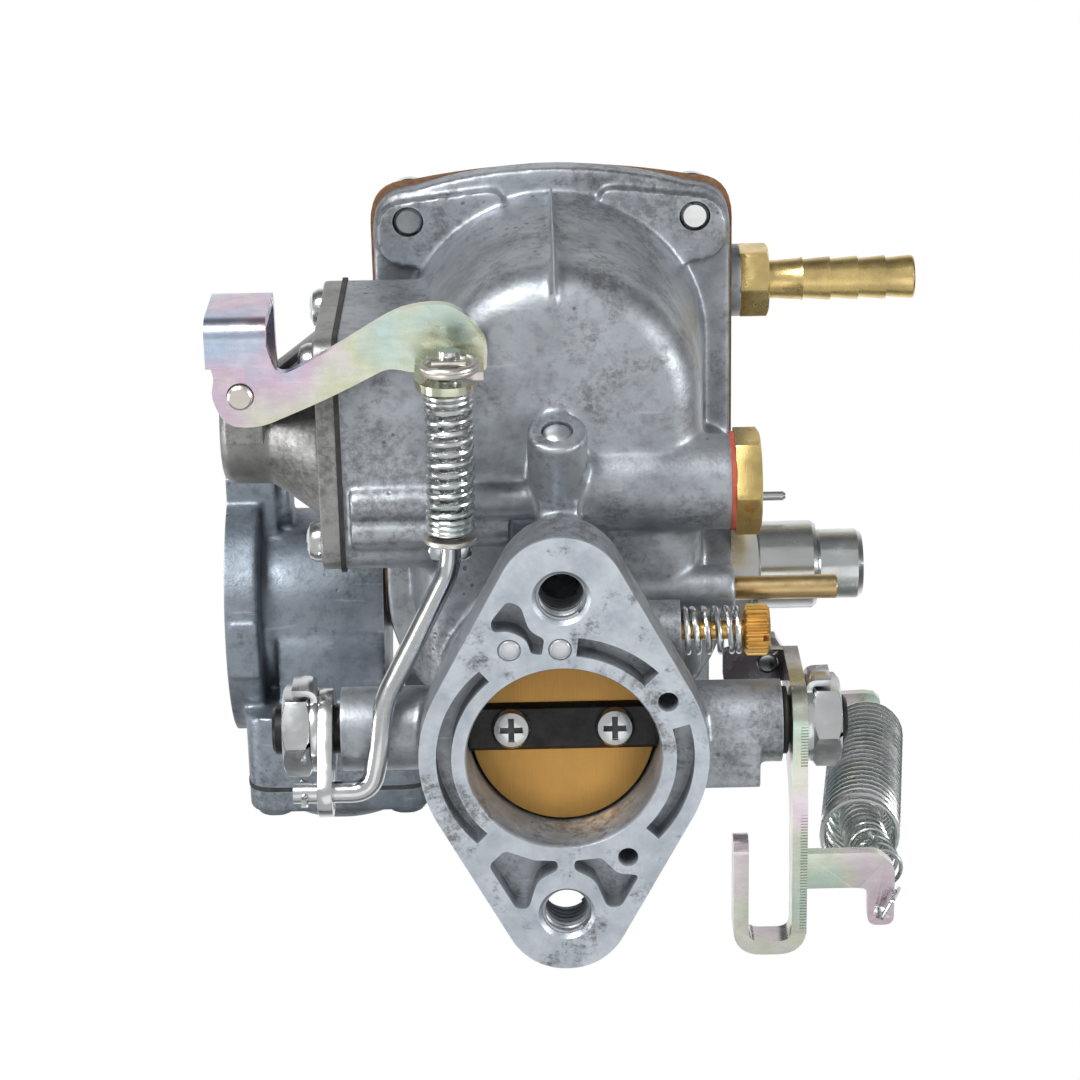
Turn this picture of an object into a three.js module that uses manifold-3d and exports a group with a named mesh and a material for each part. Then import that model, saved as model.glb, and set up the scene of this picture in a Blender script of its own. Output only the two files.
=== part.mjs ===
// A downdraft carburetor, closed throttle, standing on its manifold flange.
// Millimetres, +Z up along the throttle bore. The origin is the bore's centre on the flange face.
// The float bowl is on the -Y side, the fuel inlet and throttle lever on +X, the choke and pump on -X.
import * as THREE from 'three';
import { mergeVertices } from 'three/addons/utils/BufferGeometryUtils.js';
import Module from 'manifold-3d';

const wasm = await Module();
wasm.setup();

// ---------------------------------------------------------------- driving dimensions
const BORE_RADIUS = 15;
const FLANGE_THICKNESS = 9.5;
const STUD_SPACING = 54;
const STUD_HOLE_RADIUS = 3.9;
const BARREL_RADIUS = 20;

const SHAFT_Z = 13;
const SHAFT_RADIUS = 3.9;
const SHAFT_HOLE_RADIUS = 4.02;
const PLATE_TILT = THREE.MathUtils.degToRad(-13);
const PLATE_THICKNESS = 1.2;

const BOWL_HALF_WIDTH = 26;
const BOWL_ARC_Y = -47;
const BOWL_BOTTOM = 27;
const BOWL_WALL = 3;
const JOINT_Z = 72;
const GASKET_THICKNESS = 1.6;
const COVER_Z = JOINT_Z + GASKET_THICKNESS;
const COVER_PLATE_TOP = COVER_Z + 5.4;
const COVER_HALF_WIDTH = 30;
const HORN_RADIUS = 25.75;
const HORN_BORE_RADIUS = 18;
const HORN_MOUTH_RADIUS = 21;
const HORN_TOP = 108;

const PUMP = { y: -40.5, z: 45 };
const PAD_X = -34.2;
const PUMP_COVER_X = -35;
const LEVER_PIN = { x: -49.3, y: -52.5 };
const LEVER_Z = 23.5;
const LEVER_REAR_Z = 40.2;
const LEVER_THICKNESS = 1.8;
const ROD_RADIUS = 1.7;
const ROD_X = -16.6;
const ROD_Z = 16.5;
const ARM_PIN = { y: 6.5, z: 3.5 };

const JET_AXIS = [-34, 31];
const MIXTURE_AXIS = [-13.6, 18];
const TUBE_AXIS = [-15.8, 30];
const VALVE_AXIS = [-11.7, 50];
const BREATHER_AXIS = [-22.6, 54];
const INLET_AXIS = [-52.4, 82];
const CHOKE_SHAFT_AXIS = [4, 88];
const CHOKE_DRUM_AXIS = [8, 86];
const VACUUM_CENTRE = [-39.5, 76];
const FLOAT_PIN = [-64.5, 63.5];
const NEEDLE_Y = INLET_AXIS[0];

const COVER_SCREWS = [[-24, -68.5], [24, -68.5], [-25.4, -26.5], [25.4, -26.5]];
const PUMP_SCREWS = [[-15, -15], [-15, 15], [15, -15], [15, 15]];
const SPRING_ENDS = [new THREE.Vector3(47.2, 21.5, 10), new THREE.Vector3(54.8, 28, 67)];

// ---------------------------------------------------------------- materials
function metal(color, roughness, metalness = 0.9) {
  return new THREE.MeshStandardMaterial({ color, roughness, metalness });
}
const CASTING = metal(0x9a9fa3, 0.5);
const DARK_CASTING = metal(0x83858a, 0.55);
const ZINC = metal(0xc9cdd0, 0.3);
const BRASS = metal(0xc9a34a, 0.3);
const BRONZE = metal(0xb07a2e, 0.35);
const BLACK = metal(0x1a1a1b, 0.45, 0.6);
const GASKET = metal(0x6b4a2b, 0.9, 0);
const FIBRE = metal(0x9c3a2a, 0.85, 0);
const RUBBER = metal(0x141414, 0.8, 0);
const PLASTIC = metal(0x2b2b2d, 0.6, 0);

// ---------------------------------------------------------------- solids
/** Makes a manifold solid from a closed three.js geometry. */
function solid(geometry) {
  const flat = geometry.index ? geometry.toNonIndexed() : geometry;
  const bare = new THREE.BufferGeometry();
  bare.setAttribute('position', flat.getAttribute('position'));
  const merged = mergeVertices(bare, 1e-4);
  return new wasm.Manifold(new wasm.Mesh({
    numProp: 3,
    vertProperties: new Float32Array(merged.getAttribute('position').array),
    triVerts: new Uint32Array(merged.getIndex().array),
  }));
}

/** Gives a manifold solid back as a three.js geometry. */
function geometryOf(body) {
  const mesh = body.getMesh();
  const geometry = new THREE.BufferGeometry();
  geometry.setAttribute('position', new THREE.BufferAttribute(mesh.vertProperties, 3));
  geometry.setIndex(new THREE.BufferAttribute(mesh.triVerts, 1));
  return geometry;
}

function join(first, ...others) {
  return others.reduce((whole, next) => whole.add(next), first);
}

function cut(first, ...others) {
  return others.reduce((whole, next) => whole.subtract(next), first);
}

function sidesFor(radius) {
  if (radius < 2.2) return 8;
  if (radius < 5) return 12;
  return radius < 12 ? 20 : 32;
}

/** Turns a geometry whose axis is Y so that its axis is the named one. */
function alongAxis(axis, geometry) {
  if (axis === 'z') geometry.rotateX(Math.PI / 2);
  if (axis === 'x') geometry.rotateZ(-Math.PI / 2);
  return geometry;
}

/** The shift that puts a centre line at the two other coordinates, and 'along' on the axis. */
function shiftFor(axis, [first, second], along) {
  if (axis === 'x') return [along, first, second];
  if (axis === 'y') return [first, along, second];
  return [first, second, along];
}

/** A cone or cylinder along an axis, from one coordinate to another. */
function cone(axis, startRadius, endRadius, from, to, at = [0, 0], sides = sidesFor(Math.max(startRadius, endRadius))) {
  const geometry = new THREE.CylinderGeometry(endRadius, startRadius, to - from, sides);
  return solid(alongAxis(axis, geometry).translate(...shiftFor(axis, at, (from + to) / 2)));
}

function round(axis, radius, from, to, at, sides) {
  return cone(axis, radius, radius, from, to, at, sides);
}

function sleeve(axis, outer, inner, from, to, at) {
  return cut(round(axis, outer, from, to, at), round(axis, inner, from - 1, to + 1, at));
}

function hexagon(axis, acrossFlats, from, to, at) {
  return round(axis, acrossFlats / Math.sqrt(3), from, to, at, 6);
}

function block([x0, x1], [y0, y1], [z0, z1]) {
  const geometry = new THREE.BoxGeometry(x1 - x0, y1 - y0, z1 - z0);
  return solid(geometry.translate((x0 + x1) / 2, (y0 + y1) / 2, (z0 + z1) / 2));
}

/** Extrudes a flat shape along an axis. Its own axes are (x,y), (y,z) or (x,z). */
function slab(axis, shape, from, to, curveSegments = 8) {
  const geometry = new THREE.ExtrudeGeometry(shape, { depth: to - from, bevelEnabled: false, curveSegments });
  const unit = { x: new THREE.Vector3(1, 0, 0), y: new THREE.Vector3(0, 1, 0), z: new THREE.Vector3(0, 0, 1) };
  const basis = new THREE.Matrix4();
  if (axis === 'x') basis.makeBasis(unit.y, unit.z, unit.x).setPosition(from, 0, 0);
  if (axis === 'y') basis.makeBasis(unit.x, unit.z, unit.y.clone().negate()).setPosition(0, to, 0);
  if (axis === 'z') basis.setPosition(0, 0, from);
  return solid(geometry.applyMatrix4(basis));
}

/** A closed outline of [x, y, corner radius] points. A corner takes at most half of its shorter side. */
function outline(points) {
  const shape = new THREE.Shape();
  const count = points.length;
  points.forEach(([x, y, radius = 0], i) => {
    const corner = new THREE.Vector2(x, y);
    const before = new THREE.Vector2(...points[(i + count - 1) % count]).sub(corner);
    const after = new THREE.Vector2(...points[(i + 1) % count]).sub(corner);
    const reach = Math.min(radius, 0.48 * before.length(), 0.48 * after.length());
    const start = corner.clone().addScaledVector(before.normalize(), reach);
    const end = corner.clone().addScaledVector(after.normalize(), reach);
    if (i === 0) shape.moveTo(start.x, start.y);
    else shape.lineTo(start.x, start.y);
    if (reach > 0) shape.quadraticCurveTo(x, y, end.x, end.y);
  });
  shape.closePath();
  return shape;
}

function roundedRectangle([x0, x1], [y0, y1], radius) {
  return outline([[x0, y0, radius], [x1, y0, radius], [x1, y1, radius], [x0, y1, radius]]);
}

/** Two circles of different radius and the tangents between them. */
function linkOutline([x0, y0], radius0, [x1, y1], radius1) {
  const heading = Math.atan2(y1 - y0, x1 - x0);
  const spread = Math.acos((radius0 - radius1) / Math.hypot(x1 - x0, y1 - y0));
  const shape = new THREE.Shape();
  shape.absarc(x0, y0, radius0, heading + spread, heading - spread + 2 * Math.PI);
  shape.absarc(x1, y1, radius1, heading - spread, heading + spread);
  shape.closePath();
  return shape;
}

/** A body of revolution from [radius, position] points, starting and ending on the axis. */
function turned(axis, profile, at = [0, 0], sides = 18) {
  const points = profile.map(([radius, along]) => new THREE.Vector2(radius, along));
  return solid(alongAxis(axis, new THREE.LatheGeometry(points, sides)).translate(...shiftFor(axis, at, 0)));
}

/** A round bar along straight stretches with rounded bends. */
function bentBar(points, radius, bend, steps, sides = 4) {
  const corners = points.map((point) => new THREE.Vector3(...point));
  const path = new THREE.CurvePath();
  let start = corners[0];
  for (let i = 1; i < corners.length - 1; i += 1) {
    const entry = corners[i].clone().lerp(corners[i - 1], bend / corners[i].distanceTo(corners[i - 1]));
    const exit = corners[i].clone().lerp(corners[i + 1], bend / corners[i].distanceTo(corners[i + 1]));
    path.add(new THREE.LineCurve3(start, entry));
    path.add(new THREE.QuadraticBezierCurve3(entry, corners[i], exit));
    start = exit;
  }
  path.add(new THREE.LineCurve3(start, corners[corners.length - 1]));
  const section = new THREE.Shape();
  section.absarc(0, 0, radius, 0, 2 * Math.PI);
  return solid(new THREE.ExtrudeGeometry(section, {
    steps, curveSegments: sides, bevelEnabled: false, extrudePath: path,
  }));
}

// ---------------------------------------------------------------- castings
/** The two-lobed manifold flange: a round middle with a stud lug at each end. */
function flangeOutline() {
  const middle = 22.4;
  const lug = 9.7;
  const reach = STUD_SPACING / 2;
  const spread = Math.acos((middle - lug) / reach);
  const quarter = Math.PI / 2;
  const shape = new THREE.Shape();
  shape.absarc(0, 0, middle, spread - quarter, quarter - spread);
  shape.absarc(0, reach, lug, quarter - spread, quarter + spread);
  shape.absarc(0, 0, middle, quarter + spread, 3 * quarter - spread);
  shape.absarc(0, -reach, lug, 3 * quarter - spread, 3 * quarter + spread);
  shape.closePath();
  return shape;
}

/** The joint face of the two castings: straight sides, round at the air horn, a bowed front edge. */
function jointOutline(grow = 0, bow = 10) {
  const half = COVER_HALF_WIDTH + grow;
  const front = -72 - grow;
  const corner = 7;
  const shape = new THREE.Shape();
  shape.absarc(0, 0, half, 0, Math.PI);
  shape.lineTo(-half, front + corner);
  shape.quadraticCurveTo(-half, front, corner - half, front);
  shape.quadraticCurveTo(0, front - bow, half - corner, front);
  shape.quadraticCurveTo(half, front, half, front + corner);
  shape.closePath();
  return shape;
}

/** The D-shaped plan of the float bowl, inset by a wall. */
function bowlOutline(inset, back) {
  const half = BOWL_HALF_WIDTH - inset;
  const shape = new THREE.Shape();
  shape.absarc(0, BOWL_ARC_Y, half, Math.PI, 2 * Math.PI);
  shape.lineTo(half, back);
  shape.lineTo(-half, back);
  shape.closePath();
  return shape;
}

/** A bowl shape whose walls lean in and round over towards the bottom: one thin slice per [inset, height]. */
function bowlSolid(slices, back) {
  return wasm.Manifold.hull(slices.map(([inset, z]) => slab('z', bowlOutline(inset, back), z, z + 0.1)));
}

function bowlShell() {
  const steps = [[9, 0], [5.4, 1.6], [3.2, 5], [2.4, 9]];
  return bowlSolid([...steps.map(([inset, rise]) => [inset, BOWL_BOTTOM + rise]), [0, JOINT_Z - 0.1]], 0);
}

function bowlCavity() {
  const floor = BOWL_BOTTOM + BOWL_WALL;
  const room = bowlSolid([[9, floor], [5.6, floor + 3], [BOWL_WALL, JOINT_Z + 0.9]], -8);
  return cut(room, round('z', BARREL_RADIUS, 0, JOINT_Z + 2));
}

/** The shallow pockets cast into the manifold face around the bore. */
function flangePockets() {
  const depth = 3;
  const ring = cut(round('z', 19.9, -1, depth), round('z', 17.6, -2, depth + 1));
  const gates = join(
    block([-6, 6], [-23, -14], [-2, depth + 1]),
    block([-4, 4], [14, 23], [-2, depth + 1]),
    block([11.5, 20], [-14.5, -6], [-2, depth + 1]),
    block([7, 13.5], [13, 21], [-2, depth + 1]),
  );
  const corners = [[-1, -1], [-1, 1], [1, 1]].map(([sideX, sideY]) => slab('z', outline([
    [sideX * 5.6, sideY * 21.5, 1], [sideX * 10.2, sideY * 21.4, 1], [sideX * 7.9, sideY * 27, 1],
    [sideX * 6.2, sideY * 26.5, 0.6],
  ]), -1, depth));
  return join(cut(ring, gates), ...corners);
}

/** Throttle body, float bowl and pump pad in one zinc casting. */
function bodyCasting() {
  const outside = join(
    slab('z', flangeOutline(), 0, FLANGE_THICKNESS, 6),
    round('z', BARREL_RADIUS, 1, JOINT_Z),
    bowlShell(),
    slab('z', jointOutline(), JOINT_Z - 6, JOINT_Z),
    block([-3.5, 3.5], [-34, -14], [22, 34]),
  );
  const bosses = join(
    round('x', 6.5, -35, -14, [0, SHAFT_Z]),
    round('x', 6.4, 14, 34.6, [0, SHAFT_Z]),
    block([14, 31], [0, 8.5], [6, 19]),
    slab('x', roundedRectangle([PUMP.y - 19.5, PUMP.y + 19.5], [PUMP.z - 19, PUMP.z + 19], 4), PAD_X, -20),
    round('x', 2.9, PAD_X, 0, [-33.1, 26.5]),
    round('x', 2.6, PAD_X, -8, [-28.3, 26.5]),
    block([PAD_X, -8], [-33, -28.4], [26.8, 30]),
    round('x', 7.6, 0, 27.5, JET_AXIS),
    round('x', 4.8, 10, 18.9, MIXTURE_AXIS),
    round('x', 3.6, 10, 28.4, TUBE_AXIS),
    round('x', 8.6, 8, 28.8, VALVE_AXIS),
    bentBar([[0, -46.3, 22], [0, -33.2, 27]], 4.5, 1, 1, 5),
    ...COVER_SCREWS.slice(2).map(([x, y]) => round('z', 4.4, 52, JOINT_Z, [x, y])),
  );
  const drilled = join(
    round('z', BORE_RADIUS, -1, JOINT_Z + 1, [0, 0], 40),
    round('x', SHAFT_HOLE_RADIUS, -36, 36, [0, SHAFT_Z], 24),
    round('z', STUD_HOLE_RADIUS, -1, FLANGE_THICKNESS + 1, [0, -STUD_SPACING / 2]),
    round('z', STUD_HOLE_RADIUS, -1, FLANGE_THICKNESS + 1, [0, STUD_SPACING / 2]),
    round('x', 13, PAD_X - 1, -28, [PUMP.y, PUMP.z]),
    round('x', 3.4, 12, 28, JET_AXIS),
    round('z', 2, 34, 46, [18.4, JET_AXIS[0]]),
    round('x', 1.7, 11.5, 19.5, MIXTURE_AXIS),
    round('x', 2.05, 21, 29, TUBE_AXIS),
    round('x', 4.15, 18, 29, VALVE_AXIS),
    round('x', 1.9, 12.5, 19, VALVE_AXIS),
    round('x', 0.95, 26.8, 31, BREATHER_AXIS, 12),
    bentBar([[0, -47.2, 21.65], [0, -42.6, 23.4]], 2.3, 1, 1, 3),
    flangePockets(),
    ...COVER_SCREWS.slice(0, 2).map(([x, y]) => round('z', 2.6, JOINT_Z - 8, JOINT_Z + 1, [x, y])),
    ...COVER_SCREWS.slice(2).map(([x, y]) => round('z', 2.6, 58, JOINT_Z + 1, [x, y])),
    ...PUMP_SCREWS.map(([y, z]) => round('x', 1.7, PAD_X - 1, -27, [PUMP.y + y, PUMP.z + z])),
    round('z', 1.5, -1, 3, [16.2, -9.4]),
    round('z', 1.5, -1, 3, [9.8, 17.2]),
  );
  return cut(join(cut(outside, bowlCavity()), bosses), drilled);
}

/** Float-chamber lid and air horn in one zinc casting. */
function topCover() {
  const [inletY, inletZ] = INLET_AXIS;
  const outside = join(
    slab('z', jointOutline(-1.2, 8), COVER_Z, COVER_PLATE_TOP),
    slab('z', roundedRectangle([-20, 20], [-64, -10], 8), COVER_PLATE_TOP - 1, COVER_PLATE_TOP + 3.5),
    round('z', HORN_RADIUS, COVER_PLATE_TOP - 1, HORN_TOP),
    round('z', HORN_RADIUS + 1.2, HORN_TOP - 3, HORN_TOP),
    round('x', 6.3, -8, 32.5, INLET_AXIS),
    round('x', 9.5, -31, -20, CHOKE_SHAFT_AXIS),
    round('x', 5, 20, 29, CHOKE_SHAFT_AXIS),
    block([17, 27], [15, 34], [COVER_Z, COVER_PLATE_TOP]),
    ...[-1, 1].map((side) => block([side * 8.4 - 1.4, side * 8.4 + 1.4], [-66.5, -61.5], [61, COVER_Z + 1])),
    round('z', 5, COVER_Z - 1.6, COVER_PLATE_TOP, [0, NEEDLE_Y]),
  );
  const drilled = join(
    round('z', HORN_MOUTH_RADIUS, HORN_TOP - 6, HORN_TOP + 1, [0, 0], 40),
    round('z', HORN_BORE_RADIUS, 80, HORN_TOP + 1, [0, 0], 40),
    cone('z', BORE_RADIUS + 0.3, HORN_BORE_RADIUS, COVER_Z - 0.01, 80.01, [0, 0], 40),
    round('z', BORE_RADIUS + 0.3, COVER_Z - 2, COVER_Z + 1, [0, 0], 40),
    round('x', 2.15, -32, 30, CHOKE_SHAFT_AXIS, 16),
    round('x', 4.5, 24, 34, INLET_AXIS),
    round('x', 1.8, -3, 25, INLET_AXIS),
    round('z', 3.15, 70, inletZ - 1, [0, inletY]),
    round('x', 1.3, -12, 12, FLOAT_PIN),
    ...COVER_SCREWS.map(([x, y]) => round('z', 2.6, COVER_Z - 1, COVER_PLATE_TOP + 1, [x, y])),
    round('z', 1.6, COVER_PLATE_TOP - 5, COVER_PLATE_TOP + 1, [22, 30.5]),
  );
  return cut(outside, drilled);
}

function coverGasket() {
  return cut(
    slab('z', jointOutline(0.6, 6.5), JOINT_Z, COVER_Z),
    round('z', BORE_RADIUS + 0.3, JOINT_Z - 1, COVER_Z + 1),
    slab('z', bowlOutline(BOWL_WALL + 0.4, -23), JOINT_Z - 1, COVER_Z + 1),
    ...COVER_SCREWS.map(([x, y]) => round('z', 2.6, JOINT_Z - 1, COVER_Z + 1, [x, y])),
  );
}

function coverScrew([x, y], tip) {
  return cut(
    join(
      round('z', 2.4, tip, COVER_PLATE_TOP + 1, [x, y]),
      round('z', 4, COVER_PLATE_TOP, COVER_PLATE_TOP + 2.6, [x, y]),
    ),
    block([x - 0.5, x + 0.5], [y - 5, y + 5], [COVER_PLATE_TOP + 1.6, COVER_PLATE_TOP + 3]),
  );
}

/** Booster venturi: an outer ring in the bore and a small inner ring on a bridge. */
function venturi() {
  const ring = sleeve('z', BORE_RADIUS - 0.15, 13, 42, 54, [0, 0]);
  const bridge = block([-14, 14], [-1.8, 1.8], [46, 52]);
  const inner = round('z', 5.6, 42, 58, [0, 0]);
  return cut(join(ring, bridge, inner), round('z', 4, 41, 59));
}

// ---------------------------------------------------------------- float chamber
function floatBody() {
  const [pinY, pinZ] = FLOAT_PIN;
  const block1 = slab('z', roundedRectangle([-19.5, 19.5], [-56, -26], 8), 46, 57.5, 5);
  const arm = block([-4.5, 4.5], [pinY, -42], [59.6, 61]);
  const post = block([-4.5, 4.5], [-48, -42], [57, 60]);
  const knuckle = round('x', 2.4, -4.5, 4.5, FLOAT_PIN);
  const link = block([-4.5, 4.5], [pinY, pinY + 2.2], [59.6, pinZ]);
  return cut(join(block1, arm, post, knuckle, link), round('x', 1.3, -6, 6, FLOAT_PIN));
}

function floatNeedle() {
  return turned('z', [[0, 61.3], [1.9, 61.3], [1.9, 66.7], [0.6, 68.2], [0, 68.2]], [0, NEEDLE_Y], 16);
}

function needleSeat() {
  const at = [0, NEEDLE_Y];
  const outside = join(hexagon('z', 8, 64, COVER_Z - 1.6, at), round('z', 3, COVER_Z - 2, 80.5, at));
  return cut(outside, round('z', 2.05, 63, 68.4, at, 18), round('z', 1.1, 67, 81, at));
}

// ---------------------------------------------------------------- fuel, idle and vacuum fittings
/** Hose barb with a hexagon, four saw-tooth barbs and a bore right through. */
function fuelBarb() {
  const hexEnd = 37.5;
  const stem = 3.1;
  const crest = 3.9;
  const barbs = [[38.5, stem], [43.5, stem], [43.5, crest], [48.3, stem], [48.3, crest], [53.1, stem],
    [53.1, crest], [57.9, stem], [57.9, crest], [61.5, crest], [62.9, stem]];
  const profile = [[0, 28], [4.3, 28], [4.3, 32.5], [stem, 32.5]];
  barbs.forEach(([along, radius]) => profile.push([radius, along]));
  profile.push([0, 62.9]);
  return cut(
    join(turned('x', profile, INLET_AXIS, 16), hexagon('x', 11.3, 32.5, hexEnd, INLET_AXIS)),
    round('x', 1.9, 27, 64, INLET_AXIS),
  );
}

function jetPlug() {
  return join(round('x', 3.3, 20, 29, JET_AXIS), hexagon('x', 15.2, 28.3, 32.4, JET_AXIS));
}

function mainJet() {
  return cut(
    round('x', 3.25, 12.5, 16, JET_AXIS),
    round('x', 0.65, 12, 17, JET_AXIS),
    block([15.2, 17], [JET_AXIS[0] - 4, JET_AXIS[0] + 4], [JET_AXIS[1] - 0.4, JET_AXIS[1] + 0.4]),
  );
}

/** Idle cut-off solenoid with its screwed stub, hexagon, coil can and terminal cap. */
function idleValve() {
  return cut(
    join(
      round('x', 4, 20, 29, VALVE_AXIS),
      hexagon('x', 17, 28.8, 33.3, VALVE_AXIS),
      round('x', 7.4, 33.3, 43.3, VALVE_AXIS),
      round('x', 5.85, 43.3, 51.1, VALVE_AXIS),
    ),
    round('x', 1.7, 19, 36, VALVE_AXIS),
  );
}

function idlePlunger() {
  return turned('x', [[0, 14], [0.4, 14], [1.5, 16], [1.5, 31.5], [0, 31.5]], VALVE_AXIS, 14);
}

/** Idle mixture needle with a slotted head. */
function mixtureScrew() {
  const [y, z] = MIXTURE_AXIS;
  const needle = turned('x', [
    [0, 12], [0.3, 12], [1.5, 16], [1.5, 28.9], [4.15, 28.9], [4.15, 33.1], [0, 33.1],
  ], MIXTURE_AXIS, 20);
  return cut(needle, block([32, 34], [y - 0.5, y + 0.5], [z - 5, z + 5]));
}

// ---------------------------------------------------------------- accelerator pump
function pumpCover() {
  const { x, y } = LEVER_PIN;
  const lugTop = LEVER_REAR_Z - 0.3;
  const flange = slab(
    'x', roundedRectangle([PUMP.y - 19.5, PUMP.y + 19.5], [PUMP.z - 19, PUMP.z + 19], 4), -38, PUMP_COVER_X - 0.05,
  );
  const dome = join(
    cone('x', 10.5, 15.5, -45, -37.9, [PUMP.y, PUMP.z]),
    round('x', 9.6, -54.2, -44, [PUMP.y, PUMP.z]),
  );
  const lug = join(
    round('z', 3.3, LEVER_Z + LEVER_THICKNESS + 0.3, lugTop, [x, y]),
    block([-52.4, -46.2], [y, -43.5], [LEVER_Z + LEVER_THICKNESS + 0.3, lugTop]),
  );
  const window = block([-56, -40.4], [-56, -41], [lugTop, LEVER_REAR_Z + LEVER_THICKNESS + 0.4]);
  return cut(
    join(flange, dome, lug),
    round('x', 12.6, -38, -34, [PUMP.y, PUMP.z]),
    cone('x', 7.4, 12.6, -44, -37.99, [PUMP.y, PUMP.z]),
    round('x', 7.4, -52.4, -43.9, [PUMP.y, PUMP.z]),
    window,
    round('z', 2.12, 20, 64, [x, y], 16),
    ...PUMP_SCREWS.map(([dy, dz]) => round('x', 1.75, -39, -34, [PUMP.y + dy, PUMP.z + dz])),
  );
}

function pumpDiaphragm() {
  return cut(
    slab('x', roundedRectangle([PUMP.y - 19.9, PUMP.y + 19.9], [PUMP.z - 19.4, PUMP.z + 19.4], 4), PUMP_COVER_X, PAD_X),
    round('x', 9.5, -36, -33, [PUMP.y, PUMP.z]),
    ...PUMP_SCREWS.map(([y, z]) => round('x', 1.75, -36, -33, [PUMP.y + y, PUMP.z + z])),
  );
}

function pumpCoverScrew([y, z]) {
  const at = [PUMP.y + y, PUMP.z + z];
  return cut(
    turned('x', [[0, -40.6], [2, -40.6], [3.3, -39.4], [3.3, -38], [1.5, -38], [1.5, -28.5], [0, -28.5]], at, 12),
    block([-41, -39.8], [at[0] - 2.2, at[0] + 2.2], [at[1] - 0.5, at[1] + 0.5]),
  );
}

/** The push button of the pump with the stiff disc in the middle of its diaphragm. */
function pumpPlunger() {
  return turned('x', [
    [0, -44.2], [5.4, -44.2], [5.4, -43], [2.4, -43], [2.4, -37.2], [8.2, -37.2], [8.2, -33.6], [0, -33.6],
  ], [PUMP.y, PUMP.z], 16);
}

/** U-shaped pressed lever: front arm with a fork lug for the rod, a web, and a rear plate with the push finger. */
function pumpLever() {
  const top = LEVER_Z + LEVER_THICKNESS;
  const rearTop = LEVER_REAR_Z + LEVER_THICKNESS;
  const arm = slab('z', outline([
    [-53.9, -52.6, 3.2], [-51.6, -47.4, 3.6], [-46.6, -47.6, 3], [-35.2, -52, 4], [-26, -56.7, 2],
    [-22.6, -55.9, 0.5], [-10.8, -55.9, 0.8], [-10.8, -61.2, 3.5], [-16, -66.4, 4], [-23.5, -66.2, 4],
    [-36.5, -58.8, 3], [-43.6, -55.6, 2], [-44.9, -64.6, 1], [-54.5, -64.6, 0.5], [-54.3, -60.5, 1],
    [-52.4, -58.4, 1.5], [-53.4, -55.6, 1.5],
  ]), LEVER_Z, top, 4);
  const lug = cut(
    block([-21.8, -10.9], [-57.2, -55.9], [10.6, top]),
    block([ROD_X - 2.1, -10], [-59, -54], [12.5, 19.6]),
  );
  const web = block([-54.5, -44.9], [-64.6, -63], [LEVER_Z, rearTop]);
  const finger = slab('z', outline([
    [-53.1, -52.5, 2], [-52.6, -48.9, 2.5], [-47.8, -48.6, 1.5], [-47.5, -42, 1.2], [-44.5, -42, 1.2],
    [-44.9, -53.5, 2], [-44.9, -64.6], [-54.5, -64.6],
  ]), LEVER_REAR_Z, rearTop, 3);
  const hole = round('z', 2.14, LEVER_Z - 1, rearTop + 3, [LEVER_PIN.x, LEVER_PIN.y], 16);
  return cut(join(arm, lug, web, finger), hole);
}

/** Pump rod: cranked wire with two pressed ears under its spring and a turned end in the arm. */
function pumpRod() {
  const { y, z } = ARM_PIN;
  const wire = bentBar([
    [ROD_X + 0.3, -61.8, ROD_Z], [ROD_X - 0.5, -26, ROD_Z - 0.5], [-28, -7.5, 6.4], [-28.9, 0, 3.8],
    [-30.4, y, z], [-42.6, y, z],
  ], ROD_RADIUS, 3, 24);
  const ears = block([ROD_X - 3.1, ROD_X + 2.5], [-30.4, -27], [ROD_Z - 0.8, ROD_Z + 0.6]);
  return cut(join(wire, ears), round('z', 0.75, z - 3, z + 3, [-40.6, y]));
}

function pumpArm() {
  const { y, z } = ARM_PIN;
  return cut(
    slab('x', linkOutline([0, SHAFT_Z], 6.6, [y, z], 3.9), -38.6, -36.2, 6),
    round('x', SHAFT_RADIUS + 0.1, -40, -35, [0, SHAFT_Z], 24),
    round('x', ROD_RADIUS + 0.12, -40, -35, [y, z], 16),
  );
}

// ---------------------------------------------------------------- throttle
/** Gives a solid that was built flat at the origin its place on the shaft, turned to the closed angle. */
function ontoShaft(body) {
  return solid(geometryOf(body).rotateX(PLATE_TILT).translate(0, 0, SHAFT_Z));
}

function throttleShaft() {
  const bar = round('x', SHAFT_RADIUS, -46, 45, [0, SHAFT_Z], 24);
  const slot = block([-BORE_RADIUS + 0.2, BORE_RADIUS - 0.2], [-6, 6], [-0.7, 0.7]);
  const flat = block([-BORE_RADIUS + 0.4, BORE_RADIUS - 0.4], [-6, 6], [-5, -2.4]);
  const holes = [-8.2, 8.2].map((x) => round('z', 1.55, -6, 6, [x, 0]));
  return cut(bar, ontoShaft(join(slot, flat, ...holes)));
}

function throttlePlate() {
  const sheet = block([-18, 18], [-20, 20], [-PLATE_THICKNESS / 2, PLATE_THICKNESS / 2]);
  const holes = [-8.2, 8.2].map((x) => round('z', 1.55, -6, 6, [x, 0]));
  return ontoShaft(cut(sheet, ...holes)).intersect(round('z', BORE_RADIUS - 0.3, 0, 30, [0, 0], 40));
}

function plateScrew(x) {
  const screw = turned('z', [[0, -4.2], [1.9, -4.2], [3.1, -3.3], [3.1, -2.4], [1.4, -2.4], [1.4, 4.4], [0, 4.4]], [x, 0], 14);
  const recess = join(
    block([x - 0.45, x + 0.45], [-1.9, 1.9], [-5, -3.4]),
    block([x - 1.9, x + 1.9], [-0.45, 0.45], [-5, -3.4]),
  );
  return ontoShaft(cut(screw, recess));
}

function shaftNut(from, to) {
  return cut(hexagon('x', 13, from, to, [0, SHAFT_Z]), round('x', SHAFT_RADIUS + 0.1, from - 1, to + 1, [0, SHAFT_Z], 24));
}

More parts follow.
